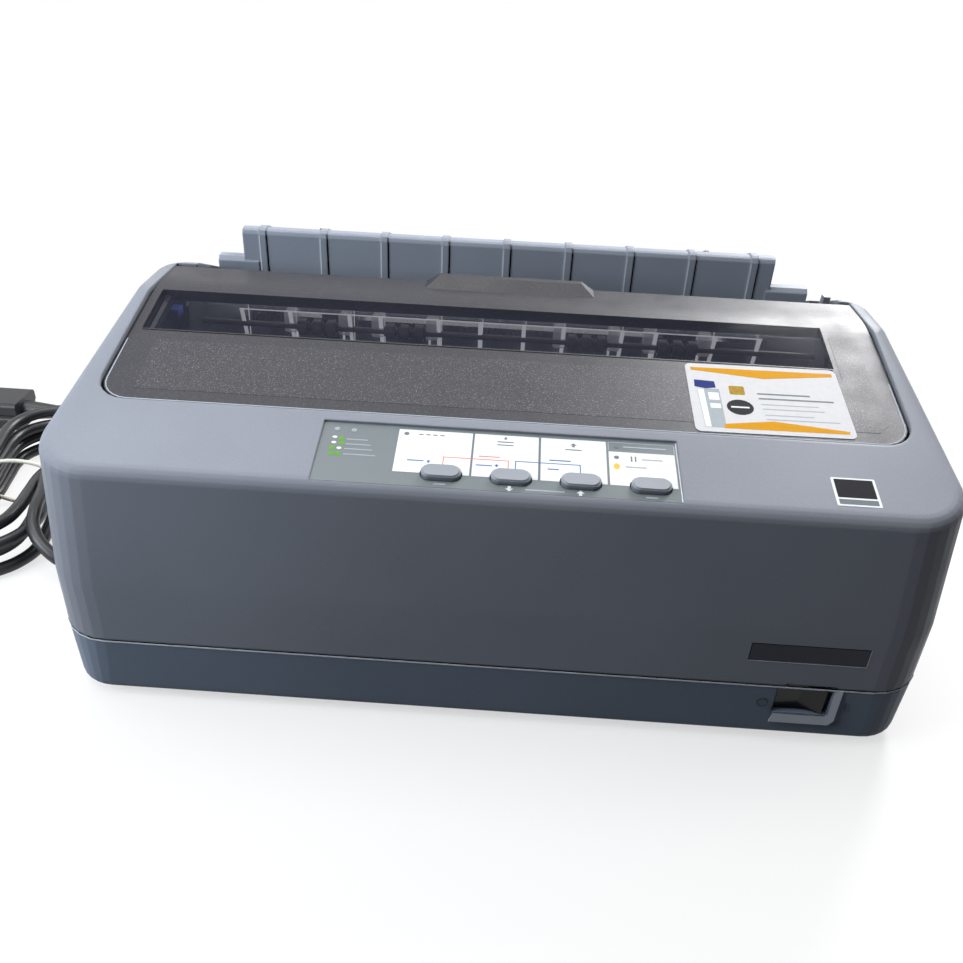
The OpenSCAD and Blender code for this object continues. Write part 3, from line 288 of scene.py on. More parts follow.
def rubber(name, shade, rough=0.75, grain=900):
    m = Maker(name)
    fine = m.noise(grain, detail=2)
    m.base(m.shades(fine, shade, dark=0.8, pale=1.3))
    m.rough(m.noise(80, detail=2), rough - 0.08, rough + 0.08)
    m.bump(fine, 0.3, distance=0.00015)
    return m.material


def clear(name, shade, rough, alpha, specular=0.5, painted_glow=0.0):
    """Clear or smoked plastic, seen through by transparency, with faint smears and, where it is
    set, a painted glow.
    """
    m = Maker(name)
    haze = m.noise(26, detail=4, rough=0.6)
    m.base(m.shades(haze, shade, dark=0.9, pale=1.25, last=0.75))
    m.rough(haze, rough, rough + 0.05, last=0.75)
    m.set("Alpha", alpha)
    m.set("Emission Color", shade)
    m.set("Emission Strength", painted_glow)
    m.set("Specular IOR Level", specular)
    m.material.surface_render_method = "BLENDED"
    return m.material


def board(name, mask=(28, 82, 48), track=(44, 112, 66), fitted=True):
    """Solder-masked circuit board with paler tracks; a fitted one has parts and lies on steel."""
    m = Maker(name)
    runs = m.noise(160, detail=0, stretch=(1, 0.12, 1))
    tracks = m.ramp(runs, (0.48, BLACK), (0.52, WHITE))
    shade = m.mix(tracks, colour(*mask), colour(*track))
    if fitted:
        shade = m.mix(m.past("Z", PARTS_FOOT, 1), shade, colour(38, 39, 42))
        shade = m.mix(m.past("Z", STEEL_TOP, -1), shade, colour(150, 153, 156))
    m.base(shade)
    m.rough(m.noise(300, detail=2), 0.3, 0.42)
    m.bump(tracks, 0.3, distance=0.0001)
    return m.material


def printed(name, shade, rough=0.4, vary=0.03, painted_glow=0.0):
    """Ink or film with the mottle of a print; a painted glow makes a piece shine though it is no
    lamp.
    """
    m = Maker(name)
    m.set("Emission Color", shade)
    m.set("Emission Strength", painted_glow)
    mottle = m.noise(420, detail=3, rough=0.6)
    m.base(m.shades(mottle, shade, dark=1 - vary, pale=1 + vary))
    m.rough(m.noise(90, detail=2), rough - 0.04, rough + 0.05)
    m.bump(m.noise(1800, detail=1), 0.05, distance=0.0001)
    m.set("Specular IOR Level", PRINT_SPECULAR)
    return m.material


def plug(name):
    """Black moulded plug body whose blades are bright metal."""
    m = Maker(name)
    blade = m.past("X", PLUG_FACE_X, -1)
    fine = m.noise(800, detail=2)
    body = m.ramp(fine, (NOISE_LOW, colour(26, 26, 29)), (NOISE_HIGH, colour(40, 41, 45)))
    m.base(m.mix(blade, body, colour(196, 198, 200)))
    m.link(blade, m.shader.inputs["Metallic"])
    m.rough(fine, 0.3, 0.42)
    m.bump(fine, 0.2, distance=0.00012)
    return m.material


SHELL = {"grain": 1500, "depth": 0.3, "specular": 0.08, "soft_edge": 0.0014}
case_grey = moulded("case_grey", colour(140, 144, 154), rough=0.42, **SHELL)
base_grey = moulded("base_grey", colour(124, 135, 151), rough=0.46, **SHELL)
# Paler than the case's grey; the extra paleness is painted light, standing in for the light on the
# guide's face.
guide_grey = moulded("guide_grey", colour(156, 163, 176), rough=0.45, grain=1300,
    specular=0.2, soft_edge=0.001)
cover_smoke = speckled("cover_smoke", colour(37, 38, 47), colour(88, 85, 92),
    share=0.6, rough=0.4, grain=2200)
cover_speckle = speckled("cover_speckle", colour(43, 42, 50), colour(110, 106, 115),
    share=0.58, rough=0.43, grain=1900)
button_grey = moulded("button_grey", colour(142, 147, 156), rough=0.38, grain=2200, depth=0.15)
black_plastic = moulded("black_plastic", colour(34, 35, 38), rough=0.45, grain=1200)
gloss_black = moulded("gloss_black", colour(20, 20, 22), rough=0.24, grain=900, depth=0.06,
    specular=0.25)
blue_plastic = moulded("blue_plastic", colour(112, 134, 240), rough=0.38, grain=1200, depth=0.12)
nylon = moulded("nylon", colour(214, 213, 204), rough=0.44, grain=700, depth=0.12)
roller_grey = moulded("roller_grey", colour(78, 75, 78), rough=0.5, grain=900, depth=0.2)
panel_film = moulded("panel_film", colour(108, 117, 121), rough=0.3, grain=2600, depth=0.08,
    vary=0.03)
cord_black = moulded("cord_black", colour(34, 35, 39), rough=0.36, grain=700, depth=0.15)
tie_cream = moulded("tie_cream", colour(222, 219, 205), rough=0.5, grain=900, depth=0.15)
# Painted highlight on the lower and right edges of the name place and on the lit walls of the power
# switch's recess.
painted_highlight_grey = moulded("painted_highlight_grey", colour(170, 175, 186), rough=0.4)
name_grey = moulded("name_grey", colour(62, 64, 72), rough=0.4, grain=2600, depth=0.08,
    specular=0.1)
steel = sheet_metal("steel", colour(176, 180, 184))
oiled_steel = sheet_metal("oiled_steel", colour(92, 94, 98), rough=0.5)
bright_steel = sheet_metal("bright_steel", colour(146, 149, 153), rough=0.22, drawn=(90, 4, 4))
foot_rubber = rubber("foot_rubber", colour(30, 30, 32))
platen_rubber = rubber("platen_rubber", colour(32, 32, 35), rough=0.6, grain=1800)
belt_rubber = rubber("belt_rubber", colour(26, 26, 28), rough=0.6)
smoke_window = clear("smoke_window", colour(60, 62, 76), rough=0.08, alpha=0.22, specular=0.03)
clear_plastic = clear("clear_plastic", colour(196, 198, 206), rough=0.12, alpha=0.14)
# The roller carriers: pale clear plastic with a painted glow though they are no lamp.
pale_painted_glow = clear("pale_painted_glow", colour(198, 194, 198), rough=0.25, alpha=0.5, painted_glow=0.13)
green_board = board("green_board", fitted=False)
main_green = board("main_green")
supply_brown = board("supply_brown", mask=(140, 108, 62), track=(164, 132, 84))
plug_black = plug("plug_black")

print_white = printed("print_white", colour(236, 240, 241))
print_grey = printed("print_grey", colour(120, 128, 135))
print_mid = printed("print_mid", colour(168, 176, 182))
print_green = printed("print_green", colour(104, 168, 62))
print_red = printed("print_red", colour(220, 132, 122))
print_blue = printed("print_blue", colour(84, 112, 172))
print_yellow = printed("print_yellow", colour(240, 196, 84))
print_orange = printed("print_orange", colour(212, 150, 4))
print_gold = printed("print_gold", colour(170, 138, 52), rough=0.25, vary=0.2)
print_ink = printed("print_ink", colour(46, 46, 50))
print_navy = printed("print_navy", colour(40, 55, 122))
print_card = printed("print_card", colour(214, 214, 217))
# Pale lines: print on the panel, and a painted highlight along the cover's front rim.
pale_lines_and_highlight = printed("pale_lines_and_highlight", colour(176, 184, 194), rough=0.35)
# Dark lines: the gap and notches at the joint, painted shade at the name place and along the step
# before the window, and painted shadow beside the guide's strips.
dark_lines_and_shade = printed("dark_lines_and_shade", colour(20, 21, 24), rough=0.5)
# Painted highlight along the edge of the lower case at the joint and along the edges of the guide's
# strips.
painted_highlight_white = printed("painted_highlight_white", colour(232, 236, 242), rough=0.35)
# Painted highlights on the edges of the clear ribs, the roller legs and the frame, with a painted
# glow though they are no lamp.
clear_painted_glow = printed("clear_painted_glow", colour(232, 232, 238), rough=0.3, painted_glow=0.42)

FINISH = {
    case_grey: ["upper_case"],
    base_grey: ["lower_case", "hinge_brackets"],
    guide_grey: ["paper_guide"],
    cover_smoke: ["printer_cover"],
    smoke_window: ["cover_window"],
    panel_film: ["panel_plate"],
    button_grey: ["button_1", "button_2", "button_3", "button_4", "release_lever"],
    gloss_black: ["power_rocker", "ribbon_cartridge"],
    black_plastic: ["switch_housing", "platen_knob", "edge_guide_left", "edge_guide_right",
        "tractor_left", "tractor_right", "tractor_door_left", "tractor_door_right", "carriage",
        "ribbon_knob"],
    blue_plastic: ["thickness_lever", "tractor_lock_left", "tractor_lock_right"],
    nylon: ["platen_bushes", "platen_gear", "idler_gear", "feed_pinion", "sprocket_left",
        "sprocket_right", "drive_pulley", "idler_pulley"],
    steel: ["base_pan", "side_frame_left", "side_frame_right", "interface_connectors",
        "carriage_motor", "feed_motor", "print_head"],
    oiled_steel: ["carriage_rail"],
    bright_steel: ["carriage_shaft", "tractor_rail", "platen_shaft", "tractor_shaft"],
    foot_rubber: ["rubber_feet"],
    cord_black: ["strain_relief"],
    platen_rubber: ["platen_roller"],
    belt_rubber: ["timing_belt"],
    roller_grey: ["tension_rollers"],
    clear_plastic: ["eject_frame"],
    green_board: ["panel_board"],
    main_green: ["main_board"],
    supply_brown: ["power_supply"],
    plug_black: ["power_plug"],
}


def dress_nodes():
    for material, nodes in FINISH.items():
        for name in nodes:
            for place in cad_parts[name].material_slots:
                place.material = material


dress_nodes()

# ---------- power cord ----------
# The same route as the solids: out of the rear, forward beside the case, into the tied hank.

CORD_D = 6.5
RELIEF_END = 164.5
EXIT_X = -125.0
EXIT_Z = 16.0
SIDE_X = -181
TABLE_Z = CORD_D / 2 + 0.05
HANK_X = -262.0
HANK_RUN = 84.0
HANK_INNER = 3 * CORD_D
HANK_LOOPS = 4
HANK_STEP = 9.0
HANK_WAIST = 0.28
HANK_LAYER = CORD_D + 0.6
HANK_LOW = CORD_D / 2 + 0.4
LOOP_STEPS = 24
SINK_STEPS = 4
# Corners of one loop: step, degrees turned, and side, which is 1 at its rear and -1 at its front
LOOP = ((0, 0, 0), (2, 0, 1), (10, 180, 1), (14, 180, -1), (22, 360, -1), (LOOP_STEPS, 360, 0))
TIE_Y, TIE_Z = 2.0, 14.2
TIE_ACROSS, TIE_UP = 23.5, 13.4
TIE_RADIUS = 1.1


def loop_state(k):
    """Degrees turned and side at a step of the hank, in between the corners of its loop."""
    q = k % LOOP_STEPS
    start, end = [pair for pair in zip(LOOP, LOOP[1:]) if pair[0][0] <= q][-1]
    share = (q - start[0]) / (end[0] - start[0])
    return [a + (b - a) * share for a, b in zip(start[1:], end[1:])]


def hank_point(k):
    degrees, side = loop_state(k)
    turn = math.radians(degrees)
    radius = HANK_INNER + HANK_STEP * abs(min(k / LOOP_STEPS, HANK_LOOPS) % 2 - 1)
    sunk = 0
    for loop in range(1, HANK_LOOPS):
        sunk += max(0, min(1, (k - LOOP_STEPS * loop + SINK_STEPS / 2) / SINK_STEPS))
    narrow = 1 - HANK_WAIST * math.cos(math.radians(90 * side)) ** 2
    return (
        HANK_X + radius * math.cos(turn) * narrow,
        side * HANK_RUN / 2 + radius * math.sin(turn),
        HANK_LOW + HANK_LAYER * (HANK_LOOPS - 1 - sunk),
    )


def shifted(point, y):
    return (point[0], point[1] + y, point[2])


def cord_points():
    last = LOOP_STEPS * HANK_LOOPS + 2
    hank = [hank_point(k) for k in range(last + 1)]
    start, end = shifted(hank[0], -CORD_D), shifted(hank[-1], CORD_D)
    route = [
        (EXIT_X, RELIEF_END, EXIT_Z), (EXIT_X, 176, 15), (-127.5, 187, 11.5), (-135, 196, 7.2),
        (-147, 200.5, 4.2), (-160, 198, 3.4), (-171, 190, TABLE_Z), (-178, 178, TABLE_Z),
        (SIDE_X, 164, TABLE_Z), (SIDE_X - 0.5, 146, TABLE_Z), (SIDE_X - 0.5, 128, TABLE_Z),
    ]
    route += [(SIDE_X, y, TABLE_Z) for y in (110, 92, 74, 56, 38, 20, 2, -17, -34)]
    route += [
        (-184.5, -48, 3.4), (-194, -58, 4.6), (-207.5, -61.5, 9), (-220, -58.5, 15.5),
        (-229, -50, 21.5), (-233, -38, 24.8), (-236.3, -24.5, start[2]), (-239.2, -15, start[2]),
        shifted(start, -3), start,
    ]
    lead = [
        end, shifted(end, 9), (-234.6, 68, 3.8), (-239, 78, 4.2), (-246, 86, 5), (-255, 91, 6.2),
        (-265, 93, 7.8), (-275, 93.5, 9), (-285, 93.5, 9.5),
    ]
    return route + hank + lead


def tie_points():
    """Oval round the waist of the hank, whose ends meet at its top."""
    turns = [math.radians(90 + 15 * i) for i in range(25)]
    return [(HANK_X + TIE_ACROSS * math.cos(turn), TIE_Y, TIE_Z + TIE_UP * math.sin(turn))
        for turn in turns]


def curve_through(name, points, radius, finish):
    """Round sweep; the knots carry its radius, because a curve's box grows by that of the knots."""
    data = bpy.data.curves.new(name, "CURVE")
    data.dimensions = "3D"
    data.bevel_depth = 1.0
    data.bevel_resolution = 4
    data.resolution_u = 4
    data.use_fill_caps = True
    spline = data.splines.new("BEZIER")
    spline.bezier_points.add(len(points) - 1)
    for knot, point in zip(spline.bezier_points, points):
        knot.co = mm(*point)
        knot.radius = radius * MM
        knot.handle_left_type = knot.handle_right_type = "AUTO"
    piece = bpy.data.objects.new(name, data)
    bpy.context.collection.objects.link(piece)
    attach(piece, "printer")
    data.materials.append(finish)
    return piece


def make_cord():
    cord = curve_through("cord", cord_points(), CORD_D / 2, cord_black)
    tie = curve_through("cord_tie", tie_points(), TIE_RADIUS, tie_cream)
    for node in ("power_cord", "cord_hank", "plug_lead"):
        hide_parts(node)


make_cord()

# ---------- outlines ----------


def corner(x, y, radius, start, steps=6):
    """Quarter circle about a point, anticlockwise from the start angle in degrees."""
    turns = [math.radians(start + 90 * i / steps) for i in range(steps + 1)]
    return [(x + radius * math.cos(turn), y + radius * math.sin(turn)) for turn in turns]


def patch(x0, x1, y0, y1, radius):
    """Rounded rectangle between two corners."""
    left, right, low, high = x0 + radius, x1 - radius, y0 + radius, y1 - radius
    centres = ((right, high), (left, high), (left, low), (right, low))
    outline = []
    for i, (x, y) in enumerate(centres):
        outline += corner(x, y, radius, 90 * i, steps=4)
    return outline


def dots(places, across, up):
    """Ovals with their two half widths."""
    turns = [math.radians(20 * i) for i in range(18)]
    return [[(x + across * math.cos(turn), y + up * math.sin(turn)) for turn in turns]
        for x, y in places]


def arrow(x, y, size, way):
    """Block arrow along the slope; way is 1 for up and -1 for down."""
    outline = [(-1, 0), (-0.4, 0), (-0.4, -0.75), (0.4, -0.75), (0.4, 0), (1, 0), (0, 0.9)]
    points = [(x + u * size, y + way * v * size) for u, v in outline]
    return points if way > 0 else points[::-1]


def level(*rows):
    """Level strokes; a row is its two ends and its height."""
    return [[(x0, y), (x1, y)] for x0, x1, y in rows]


def steep(*rows):
    """Strokes that run up or down; a row is its place across and its two ends."""
    return [[(x, y0), (x, y1)] for x, y0, y1 in rows]


def bridge(x0, x1, foot, top):
    """Three strokes over two feet."""
    return [[(x0, foot), (x0, top), (x1, top), (x1, foot)]]


# ---------- flat pieces ----------

# Least squared length of a mitre's normal, so that a sharp corner doesn't run far out
MITRE_LEAST = 0.25


def add_mesh(name, points, faces, slot, finish, body="printer"):
    mesh = bpy.data.meshes.new(name)
    mesh.from_pydata([tuple(p) for p in points], [], faces)
    mesh.update()
    piece = bpy.data.objects.new(name, mesh)
    bpy.context.collection.objects.link(piece)
    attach(piece, body)
    mesh.materials.append(finish)


def plates(name, outlines, place, low, high, **kind):
    """Thin flat plates in one piece; place(u, v, h) gives the point in the room."""
    points, faces = [], []
    for outline in outlines:
        n, first = len(outline), len(points)
        for h in (low, high):
            points += [place(u, v, h) for u, v in outline]
        faces.append(list(range(first + n - 1, first - 1, -1)))
        faces.append(list(range(first + n, first + 2 * n)))
        for i in range(n):
            a, b = first + i, first + (i + 1) % n
            faces.append([a, b, b + n, a + n])
    add_mesh(name, points, faces, **kind)


def mitre(before, here, after):
    """Mean of the normals of the strokes that meet at a point."""
    normals = []
    for start, end in ((before, here), (here, after)):
        if start and end:
            run = math.hypot(end[0] - start[0], end[1] - start[1])
            normals.append(((start[1] - end[1]) / run, (end[0] - start[0]) / run))
    return [sum(values) / len(normals) for values in zip(*normals)]


def lines(name, paths, width, place, low, high, closed=False, **kind):
    """Bands of one width along paths of points, with mitred corners, in one piece."""
    points, faces = [], []
    for path in paths:
        n, first = len(path), len(points)
        for i, (u, v) in enumerate(path):
            before = path[i - 1] if closed or i else None
            after = path[(i + 1) % n] if closed or i < n - 1 else None
            du, dv = mitre(before, (u, v), after)
            reach = width / 2 / max(MITRE_LEAST, du * du + dv * dv)
            for h in (low, high):
                for side in (reach, -reach):
                    points.append(place(u + du * side, v + dv * side, h))
        for i in range(n if closed else n - 1):
            a, b = first + 4 * i, first + 4 * ((i + 1) % n)
            faces += [
                [a, a + 1, b + 1, b],
                [a + 3, a + 2, b + 2, b + 3],
                [a + 2, a, b, b + 2],
                [a + 1, a + 3, b + 3, b + 1],
            ]
        if not closed:
            a, b = first, first + 4 * (n - 1)
            faces += [[a + 1, a, a + 2, a + 3], [b, b + 1, b + 3, b + 2]]
    add_mesh(name, points, faces, **kind)


def prints(rows, **kind):
    """Flat pieces, a row each: name, shapes, width (None for plates), low, high and finish.

    Low and high are the lower and upper side over the surface. They differ where two pieces
    meet, so that no two of them share a plane.
    """
    for name, shapes, width, low, high, finish in rows:
        kind.update(low=low, high=high, finish=finish)
        if width is None:
            plates(name, shapes, **kind)
        else:
            lines(name, shapes, width, **kind)


# ---------- printed control panel ----------

SUNK = -0.03
OVER_LOW, OVER_HIGH = 0.04, 0.08
LAMP_HIGH = 0.12
HOLE_GAP = 0.5
HOLE_R = BUTTON_D / 2 + HOLE_GAP
FIELD_TOP = -104.8
FIELDS = (
    (-38.3, -10.1, FIELD_TOP),
    (-9.3, 15.1, FIELD_TOP),
    (16.0, 40.6, FIELD_TOP),
    (41.5, 66.3, -109.8),
)
WHITE_MARKS = ((-62.2, -111.1), (-62.1, -114.0), (-59.7, -116.8))
GREEN_MARKS = (
    (-59.5, -111.8), (-59.2, -114.3), (-62.2, -116.9), (-62.1, -119.7), (-59.7, -119.8),
)


def field(x0, x1, top, button_x):
    """Printed field whose lower edge runs round the upper half of its button."""
    reach = BUTTON_W / 2 + HOLE_GAP - HOLE_R
    outline = [(x0, BUTTON_Y)]
    for side, first in ((-1, 180), (1, 90)):
        for i in range(7):
            turn = math.radians(first - 15 * i)
            u = button_x + side * reach + HOLE_R * math.cos(turn)
            outline.append((u, BUTTON_Y + HOLE_R * COS * math.sin(turn)))
    return outline + [(x1, BUTTON_Y), (x1, top), (x0, top)]


def make_panel():
    """Fields, lamps and marks; plain dashes and signs stand where the words are."""
    fields = [field(*sides, x) for sides, x in zip(FIELDS, BUTTON_X)]
    rules = steep((-9.7, BUTTON_Y, -104.6), (15.55, BUTTON_Y, -104.6))
    dim = ((-35.3, -107), (44.7, -107), (44.4, -112.7))
    listed = level((-57.6, -49.6, -111.9), (-57.6, -48.0, -114.5), (-57.6, -47.2, -117.0),
        (-57.6, -45.6, -119.8))
    light = level((-22.6, -18.4, -131.9), (10.6, 24.8, -132.0), (54.2, 58.6, -132.1),
        (47.2, 63.4, -107.0))
    blue = level((-33.6, -27.4, -120.8), (-8.0, -1.9, -121.2), (19.2, 27.2, -116.4),
        (18.6, 22.8, -121.0))
    grey = level((53.8, 61.6, -113.2), (47.6, 55.4, -117.4))
    tear_edge = level((-30.6, -28.9, -107.0), (-27.9, -26.2, -107.0), (-25.2, -23.5, -107.0),
        (-22.5, -20.8, -107.0))
    feed_and_load = level((-0.6, 5.6, -108.4), (-0.6, 5.6, -110.0), (25.2, 31.4, -110.3))
    pause = steep((50.0, -111.8, -114.6), (51.5, -111.8, -114.6))
    prints([
        ("panel_fields", fields, None, SUNK, 0.05, print_white),
        ("panel_rules", rules, 0.7, SUNK, 0.04, print_grey),
        ("panel_outline", bridge(41.5, 66.4, -109.2, FIELD_TOP), 0.28, SUNK, 0.05, pale_lines_and_highlight),
        ("panel_edge", steep((67.3, -103.3, -133.3)), 0.35, SUNK, 0.07, print_white),
        ("panel_lamps", dots(((-62, -106.7), (-55.5, -106.9)), 1.05, 0.9), None,
            SUNK, LAMP_HIGH, print_mid),
        ("panel_lamps_dim", dots(dim, 1.0, 0.85), None, SUNK, LAMP_HIGH, print_grey),
        ("panel_lamp_yellow", dots([(44.3, -117.4)], 1.15, 1.5), None,
            SUNK, LAMP_HIGH, print_yellow),
        ("panel_marks_white", dots(WHITE_MARKS, 0.95, 0.6), None, SUNK, 0.06, print_white),
        ("panel_marks_green", dots(GREEN_MARKS, 1.1, 0.95), None, SUNK, 0.05, print_green),
        ("panel_list", listed, 0.5, SUNK, 0.05, print_mid),
        ("panel_line_red", bridge(-20.2, 4.0, -122.9, -118.2), 0.4,
            OVER_LOW, OVER_HIGH, print_red),
        ("panel_line_blue", bridge(6.7, 30.7, -122.9, -118.1), 0.4,
            OVER_LOW, OVER_HIGH, print_blue),
        ("panel_marks_blue", [arrow(x, -121.0, 0.9, 1) for x in (-25.6, -0.3)], None,
            OVER_LOW, OVER_HIGH, print_blue),
        ("panel_arrows", [arrow(4.8, -131.9, 1.5, -1), arrow(30.6, -132.1, 1.5, 1)], None,
            SUNK, 0.06, print_white),
        ("panel_dashes_light", light, 0.6, SUNK, 0.06, pale_lines_and_highlight),
        ("panel_dashes_blue", blue, 0.55, OVER_LOW, OVER_HIGH, print_blue),
        ("panel_dashes_red", level((-7.2, 0.8, -116.6)), 0.5, OVER_LOW, OVER_HIGH, print_red),
        ("panel_dashes_grey", grey, 0.6, OVER_LOW, OVER_HIGH, print_mid),
        ("panel_signs", tear_edge + feed_and_load + pause, 0.55, OVER_LOW, OVER_HIGH, print_grey),
        ("panel_sign_arrows", [arrow(2.5, -106.4, 0.9, -1), arrow(28.3, -107.9, 1.3, 1)], None,
            OVER_LOW, OVER_HIGH, print_grey),
    ], place=slope_point, slot="panel_film")


# ---------- card and label on the top ----------

CARD_AT = (107.1, -74.7)
CARD_TURN = math.radians(0.7)
CARD_HIGH = 0.2
CARD_OVER = 0.24
LABEL_Y = -123.0
# The case beside the cover lies above the panel's slope at the label, and rises a little faster
CASE_OVER = 0.38
CASE_RISE = 0.02


def on_card(u, v, h):
    """Point over the card on the cover; v runs up the slope."""
    turned_u = u * math.cos(CARD_TURN) - v * math.sin(CARD_TURN)
    turned_v = u * math.sin(CARD_TURN) + v * math.cos(CARD_TURN)
    return slope_point(CARD_AT[0] + turned_u, CARD_AT[1] + turned_v * COS, h)


def on_case_top(x, y, above):
    """Point over the case beside the cover."""
    return slope_point(x, y, above + CASE_OVER + CASE_RISE * (y - LABEL_Y))


def make_card():
    """White card with two orange bands, a plain carton and lines in the place of words."""
    bands = [
        [(-29.2, 18.6), (-29.2, 16.9), (0.4, 13.0), (29.6, 16.6), (29.6, 18.6)],
        [(-20.0, -18.8), (28.6, -18.8), (29.2, -17.3), (0.2, -13.4), (-19.4, -16.3)],
    ]
    carton = [[(-27.4, -18.6), (-19.0, -18.6), (-19.0, 5.0), (-28.0, 5.0)]]
    lid = [[(-28.8, 6.0), (-24.4, 5.0), (-20.2, 5.8), (-20.4, 9.8), (-28.6, 10.4)]]
    carton_side = [
        [(-27.2, -18.4), (-24.9, -18.4), (-25.3, 4.6), (-27.8, 4.6)],
        [(-23.8, -2.0), (-19.6, -2.0), (-19.6, 2.6), (-23.8, 2.6)],
        [(-23.8, -7.0), (-19.6, -7.0), (-19.6, -4.2), (-23.8, -4.2)],
    ]
    dark = level((-3.8, 17.6, 3.2), (-3.6, 26.6, 0.2))
    pale = level((-3.2, 19.8, -3.4), (-3.0, 21.6, -6.2), (-2.6, 16.8, -9.8), (-2.4, 26.4, -12.4))
    prints([
        ("card", [patch(-31.4, 31.4, -21.2, 21.2, 2.6)], None, -0.05, 0.22, print_card),
        ("card_bands", bands, None, CARD_HIGH, 0.26, print_orange),
        ("card_carton", carton, None, CARD_HIGH, 0.25, print_mid),
        ("card_carton_lid", lid, None, CARD_HIGH, 0.27, print_navy),
        ("card_carton_side", carton_side, None, CARD_OVER, 0.28, print_white),
        ("card_seal", [patch(-14.9, -8.7, 2.0, 7.4, 0.6)], None, CARD_HIGH, 0.26, print_gold),
        ("card_oval", dots([(-11.9, -5.8)], 5.4, 4.7), None, CARD_HIGH, 0.26, print_ink),
        ("card_oval_line", level((-15.6, -8.2, -5.8)), 0.9, CARD_OVER, 0.28, print_white),
        ("card_lines_dark", dark, 0.9, CARD_HIGH, 0.25, print_grey),
        ("card_lines_pale", pale, 0.55, CARD_HIGH, 0.25, print_mid),
    ], place=on_card, body="cover", slot="panel_film")


def make_label():
    """White label with a dark field and a grey foot."""
    prints([
        ("label", [patch(123.0, 139.2, -130.2, -116.5, 0.5)], None, -0.05, 0.12, print_white),
        ("label_field", [patch(124.0, 138.2, -126.2, -117.3, 0.3)], None, 0.1, 0.16, print_ink),
        ("label_foot", [patch(124.0, 138.2, -129.4, -127.0, 0.3)], None, 0.1, 0.16, print_grey),
    ], place=on_case_top, slot="panel_film")


# ---------- cover, joint line, name place and switch ----------

RIM = COVER_HALF - 0.35
RIM_END_Y = -60.0
EDGE_LOW, EDGE_HIGH, GAP_HIGH = PART_Z - 1.0, PART_Z - 0.32, PART_Z + 0.12
MARK_LOW = -0.04


def make_cover():
    """Speckled field round the window, a painted highlight along the rim at the front and painted
    shade along the step before the window.
    """
    texture = [(-146.5, -90.6), (148.5, -90.6), (152.5, -86.0), (152.5, -31.0), (140.5, -31.0),
        (140.5, -59.6), (-148.0, -59.6)]
    rim = [(-RIM, RIM_END_Y)]
    for side, start in ((-1, 180), (1, 270)):
        rim += corner(side * (RIM - COVER_R), COVER_Y + COVER_R, COVER_R - 0.4, start)
    rim.append((RIM, RIM_END_Y))
    prints([
        ("cover_texture", [texture], None, -0.06, 0.07, cover_speckle),
        ("cover_rim_highlight", [rim], 0.45, -0.2, 0.06, pale_lines_and_highlight),
        ("cover_step_shade", level((-155.5, 138.0, -53.4)), 0.5, -0.1, 0.05, dark_lines_and_shade),
    ], place=slope_point, body="cover", slot="cover_plastic")


def case_line():
    """Outline of the case at the joint, seen from above."""
    path = []
    for side, end, radius, start in ((1, -1, CORNER_FRONT, 270), (1, 1, CORNER_REAR, 0),
            (-1, 1, CORNER_REAR, 90), (-1, -1, CORNER_FRONT, 180)):
        path += corner(side * (HALF_W - radius), end * (-Y_FRONT - radius), radius, start)
    return path


def make_joint():
    """Painted highlight along the edge of the lower case, and the dark gap over it."""
    prints([
        ("joint_edge_highlight", [case_line()], 0.5, EDGE_LOW, EDGE_HIGH, painted_highlight_white),
        ("joint_gap", [case_line()], 0.3, EDGE_HIGH, GAP_HIGH, dark_lines_and_shade),
    ], place=mm, closed=True, slot="base_plastic")


def make_switch_bevel():
    """Surround along the foot and the right side of the power switch, paler than the case: painted
    light on the lit walls of its recess.
    """
    right, foot, top = 140.4, 16.6, 31.4
    wide, tall = 3.0, 4.2
    low = foot - tall
    inner = [(118.4, foot), (right - 1.2, foot), (right, foot + 1.2), (right, top)]
    outer = [(117.4, low), (right + 1.0, low), (right + wide, low + 2.6), (right + wide, top)]
    place = upright(Y_FRONT)
    points = []
    for ring, h in ((inner, 0.02), (outer, 0.5), (outer, -0.1), (inner, -0.1)):
        points += [place(u, v, h) for u, v in ring]
    faces = []
    for a, b in ((0, 4), (4, 8), (8, 12), (12, 0)):
        faces += [[a + i, b + i, b + i + 1, a + i + 1] for i in range(3)]
    faces += [[0, 12, 8, 4], [3, 7, 11, 15]]
    add_mesh("switch_bevel", points, faces, slot="base_plastic", finish=painted_highlight_grey)


def make_front():
    """Name place left bare, surround of the power switch and its two plain marks."""
    front = upright(Y_FRONT)
    # The lower and right edges of the name place carry a painted highlight, its left and top edges
    # a painted shade.
    name_edge_highlight = [[(103.2, 44.4), (149.2, 44.4), (149.2, 53.0)]]
    name_edge_shade = [[(103.0, 44.8), (103.0, 53.2), (149.0, 53.2)]]
    prints([
        ("name_field", [patch(103.0, 149.0, 44.6, 53.2, 0.4)], None, MARK_LOW, 0.05, name_grey),
        ("name_edge_highlight", name_edge_highlight, 0.35, MARK_LOW, 0.12, painted_highlight_grey),
        ("name_edge_shade", name_edge_shade, 0.3, MARK_LOW, 0.08, dark_lines_and_shade),
    ], place=front, slot="case_plastic")
    make_switch_bevel()
    prints([("switch_off_mark", dots([(113.0, 22.3)], 2.1, 2.1), 0.4, MARK_LOW, 0.06, name_grey)],
        place=front, closed=True, slot="base_plastic")
    notches = steep((121.2, 31.2, 33.2), (137.6, 31.2, 33.2))
    prints([
        ("switch_on_mark", steep((146.4, 20.6, 24.8)), 0.45, MARK_LOW, 0.06, name_grey),
        ("joint_notches", notches, 0.5, MARK_LOW, 0.08, dark_lines_and_shade),
    ], place=front, slot="base_plastic")


# ---------- paper guide and the paper path under the window ----------

GUIDE_FOOT, GUIDE_TOP = 113.0, 150.6
